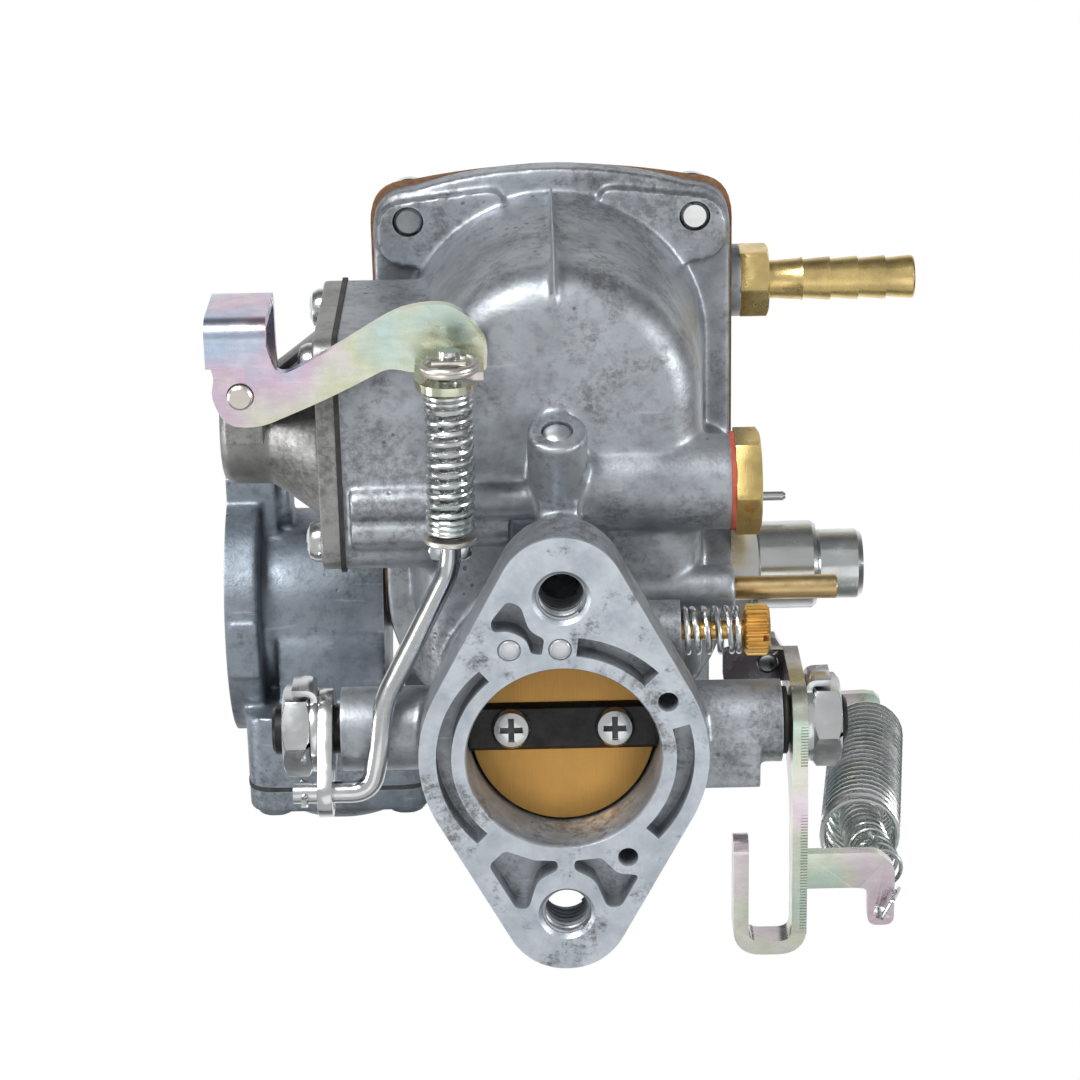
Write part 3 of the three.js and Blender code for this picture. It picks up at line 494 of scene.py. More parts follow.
def rolled_brass(name, color):
    """Rolled sheet with long brush lines and tarnish."""
    n = Finish(name, 0.95, 0.42)
    lines = n.noise(180, 5, 0.7, n.stretched((26.0, 1.0, 1.0)))
    cloud = n.noise(70, 4, 0.6)
    base = n.ramp(cloud, [(0.3, tuple(0.72 * c for c in color)), (0.7, color)])
    n.color(n.mix(n.spread(lines, 0.35, 0.7, 0.0, 0.45), base, tuple(min(1, 1.25 * c) for c in color)))
    n.rough(n.spread(lines, 0.3, 0.7, 0.34, 0.5))
    n.bump(lines, 0.015)
    return n.owner


def dull(name, dark, light, roughness, scale=600, bump=0.03, metallic=0.0):
    """Fibre, rubber, paper, plastic or blackened steel: speckled, with a fine grain."""
    n = Finish(name, metallic, roughness)
    n.color(n.ramp(n.noise(scale, 5, 0.65), [(0.35, dark), (0.68, light)]))
    n.rough(n.spread(n.noise(scale / 2, 3), 0.3, 0.7, roughness - 0.08, min(1.0, roughness + 0.08)))
    n.bump(n.noise(scale * 2, 3), bump)
    return n.owner


CAST = cast_zinc("cast_zinc", (0.2, 0.215, 0.235), (0.36, 0.385, 0.415))
CAST_DARK = cast_zinc("cast_zinc_dark", (0.17, 0.17, 0.165), (0.3, 0.3, 0.295))
CAST_BLUE = cast_zinc("cast_zinc_blue", (0.12, 0.145, 0.175), (0.25, 0.285, 0.325))
PALE = [(0.5, 0.53, 0.53), (0.6, 0.62, 0.61), (0.65, 0.66, 0.66), (0.6, 0.62, 0.63), (0.52, 0.55, 0.57)]
TINTED = [(0.42, 0.58, 0.56), (0.56, 0.58, 0.4), (0.6, 0.57, 0.52), (0.6, 0.45, 0.56), (0.42, 0.52, 0.66)]
PINKISH = [(0.6, 0.46, 0.54), (0.64, 0.58, 0.6), (0.6, 0.62, 0.5), (0.48, 0.62, 0.52), (0.62, 0.5, 0.58)]
STEEL = plated_steel("bright_plated_steel", PALE, 0.2)
LEVER = plated_steel("tinted_lever_steel", TINTED, 0.26)
LEVER_2 = plated_steel("pink_green_lever_steel", PINKISH, 0.22)
WIRE = plated_steel("spring_wire", [(0.46, 0.53, 0.51), (0.54, 0.6, 0.57), *PALE[2:]], 0.24)
WARM = [(0.5, 0.46, 0.42), (0.62, 0.58, 0.53), (0.66, 0.62, 0.57), (0.6, 0.56, 0.5), (0.55, 0.5, 0.45)]
PIN_STEEL = plated_steel("pin_steel", WARM, 0.36)
BRASS = turned_brass("pale_brass", (0.83, 0.63, 0.27))
PLUG_BRASS = turned_brass("olive_brass", (0.66, 0.5, 0.2), 0.3)
ORANGE_BRASS = turned_brass("orange_brass", (0.78, 0.47, 0.14), 0.28)
TUBE_BRASS = turned_brass("tube_brass", (0.6, 0.44, 0.22), 0.3)
PLATE_BRASS = rolled_brass("plate_brass", (0.56, 0.31, 0.09))
BLACK = dull("blackened_steel", (0.012, 0.012, 0.013), (0.035, 0.034, 0.033), 0.42, 400, 0.02, 0.6)
PAPER = dull("gasket_paper", (0.12, 0.055, 0.022), (0.23, 0.115, 0.05), 0.85, 900, 0.05)
FIBRE = dull("red_fibre", (0.3, 0.055, 0.03), (0.45, 0.1, 0.06), 0.75, 700)
RUBBER = dull("black_rubber", (0.01, 0.01, 0.01), (0.035, 0.034, 0.033), 0.62)
PLASTIC = dull("black_plastic", (0.012, 0.012, 0.013), (0.03, 0.03, 0.032), 0.5)
LEAD = plated_steel("lead_plug", [(0.6, 0.61, 0.63)] * 5, 0.34)
# A near-black finish for a thin sheet in each screw recess: painted shade for the shadow in the recess.
RECESS_PAINTED_SHADE = dull("recess_dirt", (0.05, 0.055, 0.06), (0.13, 0.14, 0.15), 0.6, 500)


# ---- body casting
def flange_outline(grow=0.0):
    """A round middle and a lug around each stud hole, joined by tangents."""
    middle_r, lug_r = 22.4 + grow, 9.7 + grow
    spread = degrees(acos((middle_r - lug_r) / STUD_Y))
    return (
        arc(0, 0, middle_r, spread - 90, 90 - spread, 18)
        + arc(0, STUD_Y, lug_r, 90 - spread, 90 + spread, 26)
        + arc(0, 0, middle_r, 90 + spread, 270 - spread, 18)
        + arc(0, -STUD_Y, lug_r, 270 - spread, 270 + spread, 26)
    )


def joint_outline(grow=0.0, bow=6.6, edge=-73.3):
    """The face between the castings: straight sides, round at the back, a bowed front edge."""
    half, front, corner = 30 + grow, edge - grow, 7
    turn = [curve((-half, front + corner), (-half, front), (corner - half, front), 8)]
    turn.append(curve((corner - half, front), (0, front - bow), (half - corner, front), 24))
    turn.append(curve((half - corner, front), (half, front), (half, front + corner), 8))
    return arc(0, 0, half, 0, 180, 48) + [point for part in turn for point in part[:-1]] + [(half,
        front + corner)]


def curve(first, control, last, steps):
    """A bend from first to last that leans towards the control point."""
    points = []
    for t in (k / steps for k in range(steps + 1)):
        parts = zip(first, control, last)
        points.append(tuple(a * (1 - t) ** 2 + b * 2 * t * (1 - t) + c * t**2 for a, b, c in parts))
    return points


def bowl_outline(inset, back=0.0):
    return arc(0, BOWL_Y, 26 - inset, 180, 360, 40) + [(26 - inset, back), (inset - 26, back)]


def crescent(inner, outer, start, end):
    """A curved pocket between two radii."""
    return arc(0, 0, outer, start, end, 24) + arc(0, 0, inner, end, start, 24)


def bowl_solid():
    """The float bowl: walls that lean in a little, a rounded bottom edge and a flat bottom."""
    shape = []
    levels = [(9.6 - 6.8 * sin(radians(a)), 27 + 7 - 7 * cos(radians(a))) for a in range(0, 91, 10)]
    levels += [(2.0, 48), (0.9, 62), (0, JOINT_Z)]
    for inset, z in levels:
        shape.append([(x, y, z) for x, y in bowl_outline(inset)])
    count = len(shape[0])
    points = [point for ring in shape for point in ring]
    faces = [tuple(range(count)), tuple(reversed(range(len(points) - count, len(points))))]
    for k in range(len(shape) - 1):
        for i in range(count):
            j = (i + 1) % count
            faces.append((k * count + i, (k + 1) * count + i, (k + 1) * count + j, k * count + j))
    return points, faces


def screw_lug(at):
    """A raised web from a front screw towards the bowl."""
    side = 1 if at[0] > 0 else -1
    web = [(side * 29.2, -71.3, 5), (side * 29.2, -61.4, 5), (side * 20, -60, 2), (side * 8, -66, 2),
        (side * 8, -73.8, 3)]
    return prism("z", rounded(web if side < 0 else web[::-1], 6), JOINT_Z - 6.6, JOINT_Z - 1)


def flange_pockets():
    """Outlines of the pockets cast into the manifold face, around the raised ring of the bore."""
    upper_left = [(-10.9, -23.3, 1), (-8.3, -26.7, 0.8), (-6.2, -26, 1), (-5, -21.8, 1.6), (-2.7, -20.4, 0.6),
        (-3.1, -17.7, 0.5), (-4.8, -18, 0.5), (-5.4, -20.3, 1.8), (-8, -21.8, 2), (-10.6, -21.6, 0.8)]
    lower_left = [(-1.4, 17.6, 0.6), (-1.2, 19.2, 0.8), (-4.5, 21, 1.5), (-6, 26, 1), (-8, 26, 1),
        (-12.2, 18.2, 1),
        (-9.6, 15.6, 0.8), (-5, 17.4, 0)]
    lower_right = [(1.4, 17.6, 0.6), (1.2, 19.2, 0.8), (4.5, 21, 1.5), (6.4, 26, 1), (8.6, 26, 1),
        (11.6, 20.4, 1),
        (8.2, 20, 0.8), (5.6, 17.2, 0.5)]
    crescents = [crescent(17.5, 19.9, 134, 230), crescent(17.5, 20.3, -16, 44),
        crescent(17.5, 20.6, -83, -44)]
    return crescents + [rounded(shape, 5) for shape in (upper_left, lower_left, lower_right)]


def body_casting():
    low, high = mm_box("body_casting")
    solids = [
        # flange, barrel, bowl and the joint face
        prism("z", flange_outline(0.2), -1, 9.5),
        rod("z", 20, 1, JOINT_Z),
        bowl_solid(),
        prism("z", joint_outline(), JOINT_Z - 4.4, JOINT_Z + 1),
        *[screw_lug(at) for at in SCREWS[:2]],
        # front stud boss and its web, shaft bosses
        rod("z", 5.6, 5, 23, (0, -STUD_Y)),
        box3((-3, 3), (-34, -14), (22, 34)),
        rod("x", 6.7, low[0] - 1, -14, SHAFT),
        rod("x", 6.6, 14, high[0] + 1, SHAFT),
        box3((14, 31), (0, 8.5), (6, 19)),
        # pump pad and its oilways
        prism("x", rounded_box(*PAD), PAD_X - 1, -20),
        rod("x", 2.95, PAD_X + 1.2, 0, (-33.1, 26.5)),
        rod("x", 2.65, PAD_X + 1.2, -8, (-28.3, 26.5)),
        box3((PAD_X + 1.2, -8), (-33, -28.4), (26.8, 31)),
        # bosses for the jet plug, mixture screw, vacuum tube and solenoid
        rod("x", 7.75, 0.5, 28.5, JET),
        rod("x", 5, 10, 20, MIXTURE),
        rod("x", 3.8, 10, 28.4, TUBE),
        rod("x", 8.6, 8, 29.5, VALVE),
        # inclined passage, its rib, the casting seam and the rear screw bosses
        tube([(0, -46.3, 22), (0, -33.2, 27)], 4.8, 48),
        prism("x", [(-44, 24.5), (-16, 20), (-16, 30), (-44, 30)], -1.3, 1.3),
        box3((-0.22, 0.22), (-74.5, -34), (26.8, 66)),
        *[rod("z", 4.4, 52, JOINT_Z, at) for at in SCREWS[2:]],
    ]
    machined = [
        box3((-60, 60), (-80, 80), (-5, 0)),
        box3((-60, 60), (-80, 80), (JOINT_Z, JOINT_Z + 5)),
        box3((low[0] - 5, low[0]), (-30, 30), (0.5, 25.5)),
        box3((high[0], high[0] + 5), (-30, 30), (0.5, 25.5)),
        box3((PAD_X - 5, PAD_X), (-65, -18), (26, 66)),
        box3((27.5, 30), (-44, -23.6), (22, 40.4)),
        box3((28.8, 31.5), (-21.4, -2), (41.6, 60)),
        box3((18.9, 21), (-19, -8.5), (12.5, 23.5)),
    ]
    mouth = [(0, -1), (BORE + 1.4, -1), (BORE + 0.45, 0), (BORE + 0.2, 0.4), (BORE + 0.2, JOINT_Z + 1),
        (0, JOINT_Z + 1)]
    deep = [(0, -1), (5.6, -1), (4.5, 0), (3.9, 0.7), (3.9, 19), (2.5, 20.5), (0, 20.5)]
    open_end = deep[:4] + [(3.9, 12), (0, 12)]
    passage = [(0, -1), (2, -1), (1.55, 0.2), (1.55, 8.5), (0, 8.5)]
    plug_seat = [(0, -1), (2.3, -1), (1.85, 0.1), (1.72, 0.5), (0, 0.5)]
    bores = [
        turned("z", mouth, count=128),
        turned("z", deep, (0, -STUD_Y)),
        turned("z", open_end, (0, STUD_Y)),
        rod("x", 13, PAD_X - 1, -28, PUMP),
        rod("x", 3.45, 12, 28, JET),
        rod("x", 1.75, 11.5, 19.5, MIXTURE),
        rod("x", 2.05, 21, 29, TUBE),
        rod("x", 4.2, 16, 29, VALVE),
        tube([(0, -47.7, 21.46), (0, -44.6, 22.64)], 2.55, 48),
        *[rod("z", SCREW_HOLE_R, JOINT_Z - 8, JOINT_Z + 1, at) for at in SCREWS[:2]],
        *[rod("z", SCREW_HOLE_R, 58, JOINT_Z + 1, at) for at in SCREWS[2:]],
        *[rod("x", 1.8, PAD_X - 1, -27, at) for at in PUMP_SCREWS],
        *[turned("z", passage, at) for at in ((16.2, -9.4), (9.8, 17.2))],
        *[turned("z", plug_seat, at) for at in PLUGS],
    ]
    barrel_side = arc(0, 0, 20, -30, -150, 30)
    cavity = arc(0, BOWL_Y, 20.5, 180, 360, 40) + [(20.5, -14)] + barrel_side + [(-20.5, -14)]
    upper = arc(0, BOWL_Y, 22.6, 180, 360, 40) + [(22.6, -10)] + barrel_side + [(-22.6, -10)]
    across = [
        rod("x", SHAFT_R + 0.1, low[0] - 2, high[0] + 2, SHAFT),
        prism("z", cavity, 31, 46.001),
        *[prism("z", pocket, -1, 4.2) for pocket in flange_pockets()],
    ]
    ceiling = [prism("z", upper, 46, JOINT_Z + 1)]
    casting("body_shell", solids, [machined, bores, across, ceiling], CAST, "body_casting")


def stud_threads():
    for i, y in enumerate((-STUD_Y, STUD_Y)):
        coil = helix((0, y, 0.9), (0, y, 9.2), 3.75, [1] * 7, 40)
        make(f"stud_thread_{i + 1}", tube(coil, 0.33, 6), CAST)


def lead_plugs():
    dome = [(0, 0.02), (1.1, 0.05), (1.45, 0.14), (1.64, 0.32), (1.7, 0.6), (1.7, 1.5), (0, 1.5)]
    for i, at in enumerate(PLUGS):
        make(f"flange_plug_{i + 1}", turned("z", dome, at, 40), LEAD)
    angles = [radians(-90 + 18 * k) for k in range(11)]
    verts, faces = turned("z", [(abs(2.5 * cos(a)), 1.25 * sin(a)) for a in angles], (0, 0), 40)
    lean = atan2(13.1, 5.0)
    c, s = cos(lean), sin(lean)
    verts = [(x, y * c + z * s - 45.3, -y * s + z * c + 22.4) for x, y, z in verts]
    make("passage_plug", (verts, faces), LEAD)


# ---- top cover and gasket
def top_cover():
    solids = [
        prism("z", joint_outline(-1.2, 6, -72), COVER_Z - 1, COVER_TOP),
        prism("z", rounded_box((-20, 20), (-64, -10), 8), COVER_TOP - 1, COVER_TOP + 3.5),
        rod("z", 25.75, COVER_TOP - 1, HORN_TOP - 0.2, count=128),
        rod("z", 26.9, HORN_TOP - 3, HORN_TOP - 0.1, count=128),
        rod("x", 6.3, -8, 33, INLET),
        rod("x", 9.5, -32, -20, CHOKE),
        rod("x", 5, 20, 29, CHOKE),
        box3((17, 27), (15, 34), (COVER_Z, COVER_TOP)),
        *[box3((s * 8.4 - 1.4, s * 8.4 + 1.4), (-67, -61.5), (61, COVER_Z + 1)) for s in (-1, 1)],
        rod("z", 5, COVER_Z - 1.6, COVER_TOP, (0, INLET[0])),
    ]
    faces = [
        box3((-40, 40), (-19, 40), (COVER_Z - 5, COVER_Z)),
        box3((32.5, 36), (-60, -40), (70, 95)),
        box3((-36, -31), (-10, 20), (COVER_Z, HORN_TOP)),
        rod("x", 2.2, -27, 32, CHOKE),
    ]
    bores = [
        turned("z", [(0, 70), (BORE + 0.2, 70), (BORE + 0.3, COVER_Z), (18, 80), (18, HORN_TOP - 6),
            (21, HORN_TOP - 6),
            (21, HORN_TOP + 1), (0, HORN_TOP + 1)], count=128),
        rod("x", 4.5, 24, 34, INLET),
        rod("z", 3.2, 70, 81, (0, INLET[0])),
        rod("x", 1.35, -12, 12, (-64.5, 63.5)),
        *[rod("z", SCREW_HOLE_R, COVER_Z - 2, COVER_TOP + 1, at) for at in SCREWS],
    ]
    casting("cover_shell", solids, [faces, bores], CAST, "top_cover")


def cover_gasket():
    gasket = raw("cover_gasket_sheet", prism("z", joint_outline(0.6, 4.6, -73.1), JOINT_Z, COVER_Z))
    inner = arc(0, BOWL_Y, 22.6, 180, 360, 40) + [(22.6, -22), (-22.6, -22)]
    holes = [rod("z", SCREW_HOLE_R, 60, 90, at) for at in SCREWS]
    carve(gasket, merge(prism("z", inner, 60, 90), rod("z", BORE + 0.3, 60, 90), *holes))
    finish_piece(gasket, PAPER, ROOT, "cover_gasket")


def cover_screws():
    for i, at in enumerate(SCREWS):
        node = f"cover_screw_{i + 1}"
        low, high = span(node, 2)
        head = high - 2.6
        shank = [(0, low), (1.9, low), (2.4, low + 0.6)]
        thread = [(2.4 if k % 2 else 2.15, low + 0.6 + 0.4 * k) for k in range(1, 12)]
        screw = raw(node + "_turned", turned("z", shank + thread + [
            (2.4, head), (4, head), (4, head + 1.4), (3.4, head + 2.2), (2, high), (0, high)], at, 40))
        carve(screw, box3((at[0] - 0.5, at[0] + 0.5), (at[1] - 5, at[1] + 5), (head + 1.4, high + 1)))
        finish_piece(screw, STEEL, ROOT, node)


# ---- accelerator pump
def pump_cover():
    seat = span("pump_cover", 0)[1]
    bell = [(0, -54.4), (8.6, -54.4), (9.7, -53.2), (9.8, -46.5), (11, -44.6), (15.6, -38.4), (15.6, -36),
        (0, -36)]
    solids = [
        prism("x", rounded_box(*PAD), -38, seat + 1),
        turned("x", bell, PUMP),
        rod("z", 3.4, 25.4, 39.8, PIN),
        box3((-52.4, -46.2), (PIN[1], -43.5), (25.4, 39.8)),
        *[rod("x", 4.2, -38.2, -36, at) for at in PUMP_SCREWS],
    ]
    faces = [
        box3((seat, seat + 5), (-70, -10), (20, 70)),
        box3((-56, -40.4), (-56, -41), (39.9, 42.4)),
        *[rod("x", 1.8, -39.5, -30, at) for at in PUMP_SCREWS],
        rod("z", 2.12, 20, 39, PIN),
    ]
    bores = [turned("x", [(0, -52.4), (7.4, -52.4), (7.4, -44), (12.6, -38), (12.6, -30), (0, -30)], PUMP)]
    casting("pump_cover_shell", solids, [faces, bores], CAST_DARK, "pump_cover", 0.4, 5)


def pump_diaphragm():
    sheet = raw("pump_diaphragm_sheet", prism("x", rounded_box(
        (PUMP[0] - 19.9, PUMP[0] + 19.9), (PUMP[1] - 19.4, PUMP[1] + 19.4), 4), *span("pump_diaphragm", 0)))
    carve(sheet, merge(rod("x", 9.5, -40, -30, PUMP), *[rod("x", 1.8, -40, -30, at) for at in PUMP_SCREWS]))
    finish_piece(sheet, RUBBER, ROOT, "pump_diaphragm")


def pan_screw(name, axis, at, tip, seat, crown, head_r, shank_r, sign, material, body, tilt=False):
    """A pan-head screw with a cross recess, and a dark sheet near the recess floor as painted shade; sign
    tells which way along the axis the head faces.
    """
    depth = crown - seat
    profile = [(0, tip), (shank_r, tip), (shank_r, seat), (head_r, seat), (head_r, seat + 0.35 * depth),
        (0.86 * head_r, seat + 0.75 * depth), (0.5 * head_r, seat + 0.97 * depth), (0, crown)]
    arm, width = 0.6 * head_r, 0.15 * head_r
    start, end = sorted((crown - 0.6 * depth, crown + sign))
    u, v = cross(axis, at)
    corners = [(arm, -width), (arm, width), (width, width)]
    for _ in range(3):
        corners += [(-b, a) for a, b in corners[-3:]]
    recess = prism(axis, [(u + a, v + b) for a, b in corners], start, end)
    shape = turned(axis, profile, at, 48)
    screw = raw(name + "_turned", tilted(shape) if tilt else shape)
    carve(screw, tilted(recess) if tilt else recess)
    finish_piece(screw, material, body, name)
    # Painted shade: a dark sheet just above the recess floor stands in for the shadow inside the recess.
    shade_outline = [(u + 0.96 * a, v + 0.96 * b) for a, b in corners]
    floor = sorted((crown - 0.6 * depth, crown - 0.52 * depth))
    layer = prism(axis, shade_outline, *floor)
    make(name + "_recess_painted_shade", tilted(layer) if tilt else layer, RECESS_PAINTED_SHADE, body)


def pump_lever():
    back = span("pump_lever", 2)[1]
    front, thick = 23.5, 1.8
    arm = rounded([
        (-53.9, -52.6, 3.2), (-52, -47.6, 4), (-46.6, -47.2, 4), (-35.2, -52, 6), (-26, -56.7, 2),
        (-22.6, -55.9, 0.5), (-10.8, -55.9, 0.8), (-10.4, -61.2, 5), (-15.4, -67, 6), (-23.5, -66.6, 7),
        (-36.5, -58.8, 5), (-43.4, -55.4, 2.6), (-44.9, -60.6, 0.2), (-54.5, -60.6, 0.2), (-54, -58, 1),
        (-53.2, -55.6, 1.5),
    ], 7)
    finger = rounded([
        (-53.1, -52.5, 2), (-52.6, -48.9, 2.5), (-47.8, -48.6, 1.5), (-47.5, -42, 1.2), (-44.5, -42, 1.2),
        (-44.9, -53.5, 2), (-44.9, -60.6, 0), (-54.5, -60.6, 0),
    ], 6)
    lever = raw("pump_lever_pressing", prism("z", arm, front, front + thick))
    web = bend([(0, -57, front + 0.9), (0, -63.7, front + 0.9), (0, -63.7, 41.1), (0, -56, 41.1)], 2.6, 8)
    carve(lever, prism("x", strip(web, 0.9, 1, 2), -54.5, -44.9), "UNION")
    carve(lever, prism("z", finger, 40.2, back + 0.001), "UNION")
    tab = rounded([(-21.9, 25.2, 0), (-21.9, 15.6, 4), (-19.5, 11, 4), (-13.8, 11, 4), (-11.2, 15.6, 4),
        (-11.2, 25.2, 0)], 8)
    carve(lever, prism("y", [(z, x) for x, z in tab], -57.2, -55.92), "UNION")
    slot = rounded([(-18.8, 14.2, 2), (-9, 14.2, 0), (-9, 18.8, 0), (-18.8, 18.8, 2)], 6)
    carve(lever, prism("y", [(z, x) for x, z in slot], -59, -54))
    carve(lever, rod("z", 2.14, 20, 50, PIN))
    soften(lever, 0.28)
    finish_piece(lever, LEVER, "pump_bellcrank", "pump_lever")


def strip(path, half, first, second):
    """The outline, in two coordinates of the path, of a strip that follows it; half is half the thickness."""
    last = len(path) - 1
    sides = []
    for reach in (half, -half):
        side = []
        for i, at in enumerate(path):
            heading = (path[min(i + 1, last)] - path[max(i - 1, 0)]).normalized()
            side.append((at[first] - heading[second] * reach, at[second] + heading[first] * reach))
        sides.append(side)
    return sides[0] + sides[1][::-1]


def pump_link():
    """The cranked rod with its ears, spring, washer, wire clip and cotter."""
    y, z = LINK
    x = -16.6
    wire = bend([(x + 0.3, -61.6, 16.5), (x - 0.5, -26, 16), (-28, -7.5, 6.4), (-28.9, 0, 3.8),
        (-30.4, y, z), (-42.5, y, z)], 3)
    ears = []
    for side in (-1, 1):
        ears.append(turned("z", [(0, 15.6), (1.1, 15.6), (1.5, 15.9), (1.5, 16.7), (1.1, 17), (0, 17)],
            (x - 0.5 + 1.9 * side, -28.7), 24))
    make("pump_rod_wire", merge(tube(wire, 1.7, 24), *ears), STEEL, "pump_link", "pump_rod", 50)
    pitches = [0.55, 0.62] + [1.05] * 10 + [0.8, 0.6, 0.55, 0.5]
    coil = helix((x, -55.1, 16.4), (x - 0.3, -32.2, 16.2), 3.4, pitches)
    make("rod_spring_coil", tube(coil, 0.5, 10), WIRE, "pump_link", "rod_spring")
    washer = [(2.1, -31.5), (4.3, -31.5), (4.4, -31.3), (4.4, -30.8), (4.2, -30.6), (2.1, -30.6)]
    make("rod_washer_disc", turned("y", washer, (x - 0.3, 16.2)), PIN_STEEL, "pump_link", "rod_washer")
    clip = helix((x + 0.2, -59.5, 16.3), (x + 0.2, -58.3, 16.3), 4.1, [0.9, 1.1], 40)
    hook = [Vector((x + 0.2, -60.2, 16.3)) + Vector((2.6 - 5.2 * t, 0, -2.3)) for t in (0, 1)]
    make("rod_clip_wire", merge(tube(clip, 0.55, 10), tube(hook, 0.5, 10)), PIN_STEEL, "pump_link",
        "rod_clip")
    cotter = bend([(-40.6, y + 0.9, z - 3.2), (-40.6, y, z - 2.6), (-40.6, y, z + 2.4),
        (-41.6, y - 0.4, z + 3)], 0.4, 3)
    make("rod_cotter_wire", tube(cotter, 0.6, 10), STEEL, "pump_link", "rod_cotter")


# ---- throttle
def throttle():
    body = "throttle"
    low, high = span("throttle_shaft", 0)
    end_r = SHAFT_R - 0.5
    ends = [(0, low), (end_r, low), (SHAFT_R, low + 0.5), (SHAFT_R, high - 0.5), (end_r, high), (0, high)]
    bar = raw("throttle_spindle", turned("x", ends, SHAFT))
    slot = box3((-14.8, 14.8), (-6, 6), (-0.7, 0.7))
    flat = box3((-14.6, 14.6), (-6, 6), (-5, -2.4))
    carve(bar, tilted(merge(slot, flat)))
    finish_piece(bar, BLACK, body, "throttle_shaft")
    disc = [(x, y / cos(TILT)) for x, y in circle(0, 0, BORE - 0.3, 128)]
    plate = raw("throttle_butterfly", tilted(prism("z", disc, -0.6, 0.6)))
    soften(plate, 0.12, 32)
    finish_piece(plate, PLATE_BRASS, body, "throttle_plate")
    for i, x in enumerate((-8.2, 8.2)):
        pan_screw(f"plate_screw_{i + 1}", "z", (x, 0), 4.4, -2.4, -4.2, 3.15, 1.4, -1, STEEL, body, True)
    for side, hand in ((-1, "left"), (1, "right")):
        nut(hand + "_nut", body)
        tab_washer(hand + "_tab_washer", side, body)


def nut(name, body):
    start, end = span(name, 0)
    hexagon = raw(name + "_hex", prism("x", circle(0, SHAFT_Z, 7.5, 6, radians(30)), start, end))
    cone = [(0, start - 0.6), (5.6, start - 0.6), (7.6, start + 0.75), (7.6, end - 0.75), (5.6, end + 0.6),
        (0, end + 0.6)]
    carve(hexagon, turned("x", cone, SHAFT), "INTERSECT")
    carve(hexagon, rod("x", SHAFT_R + 0.05, start - 1, end + 1, SHAFT))
    soften(hexagon, 0.12, 20)
    finish_piece(hexagon, STEEL, body, name, 25)


def tab_washer(name, side, body):
    inner = span(name, 0)[0 if side > 0 else 1]
    outer = inner + side * 1.1
    face = sorted((inner, outer))
    ring = raw(name + "_pressing", rod("x", 6.7, *face, SHAFT))
    path = [(inner + 0.55 * side, -4.5), (inner + 0.55 * side, -7.5), (inner + 4 * side, -7.6)]
    outline = strip(bend([(a, b, 0) for a, b in path], 1.2), 0.5, 0, 1)
    carve(ring, prism("z", outline, SHAFT_Z - 3, SHAFT_Z + 3), "UNION")
    carve(ring, rod("x", SHAFT_R + 0.05, face[0] - 1, face[1] + 1, SHAFT))
    soften(ring, 0.15)
    finish_piece(ring, STEEL, body, name)


def pump_arm():
    reach = hypot(LINK[0], LINK[1] - SHAFT_Z)
    heading = degrees(atan2(LINK[1] - SHAFT_Z, LINK[0]))
    spread = degrees(acos((6.6 - 3.9) / reach))
    shape = arc(0, SHAFT_Z, 6.6, heading + spread, heading - spread + 360, 36)
    shape += arc(*LINK, 3.9, heading - spread, heading + spread, 20)
    arm = raw("pump_arm_pressing", prism("x", shape, *span("pump_arm", 0)))
    carve(arm, merge(rod("x", SHAFT_R + 0.05, -50, -30, SHAFT), rod("x", 1.8, -50, -30, LINK)))
    soften(arm, 0.25)
    finish_piece(arm, STEEL, "throttle", "pump_arm")


def throttle_lever():
    """Pressed lever: hub plate with stop tab, a strip bent into the cable fork, and the spring arm."""
    inner, outer = 35.9, 38.3
    plate = rounded([
        (-7.6, 8, 3), (-7.6, 25.6, 1), (-1.8, 25.6, 1), (2.5, 20.6, 4), (7.2, 18.5, 4), (12, 10, 5),
        (33.6, 8, 1),
        (33.6, 3, 1), (12, 3, 5), (4, 4.4, 5), (-4, 4.4, 5),
    ], 7)
    lever = raw("throttle_lever_pressing", prism("x", plate, inner, outer))
    centre = [(37.1, 30, 0), (37.1, 35.6, 0), (27.8, 35.6, 0), (27.8, 18.2, 0)]
    carve(lever, prism("z", strip(bend(centre, 3.4, 8), 1.2, 0, 1), 3.01, 7.99), "UNION")
    carve(lever, rod("x", 2.49, 26.6, 29, (18.9, 5.5)), "UNION")
    stop = rounded_box((26.2, 36.5), (-7.4, -1.8), 1, 4)
    carve(lever, prism("z", stop, 24, 25.59), "UNION")
    arm = rounded([(37.8, 19.6, 0), (49.6, 19.6, 1.2), (52.4, 22, 2.4), (52.4, 32.6, 1.6),
        (48.2, 32.6, 1.6), (48, 26, 1.4),
            (46, 25.8, 1), (37.8, 25.8, 0)], 6)
    carve(lever, prism("z", arm, 4.4, 6.41), "UNION")
    carve(lever, merge(
        rod("x", SHAFT_R + 0.05, inner - 1, outer + 1, SHAFT),
        rod("z", 1.75, 22, 27, (33.4, -5)),
        rod("z", 1.1, 3, 8, (50.2, 30.4)),
    ))
    soften(lever, 0.3)
    marks = [box3((37.15, 38.5), (y, y + 0.2), (2.5, 3.2)) for y in (12 + 0.5 * k for k in range(41))]
    marks += [box3((37.15, 38.5), (y, y + 0.2), (3.9, 4.6)) for y in (-3.6 + 0.5 * k for k in range(16))]
    carve(lever, merge(*marks))
    finish_piece(lever, LEVER_2, "throttle", "throttle_lever")


def fast_idle_screw():
    low, high = span("fast_idle_screw", 2)
    thread = [(1.6 if k % 2 else 1.38, low + 0.35 * (k + 1)) for k in range(10)]
    shank = [(0, low), *thread, (1.6, 28), (1.6, high - 0.6), (1, high), (0, high)]
    head = turned("z", shank, (33.4, -5), 32)
    collar = prism("z", circle(33.4, -5, 3.15, 6), 28, 30.6)
    make("fast_idle_screw_turned", merge(head, collar), STEEL, "fast_idle_adjuster", "fast_idle_screw")


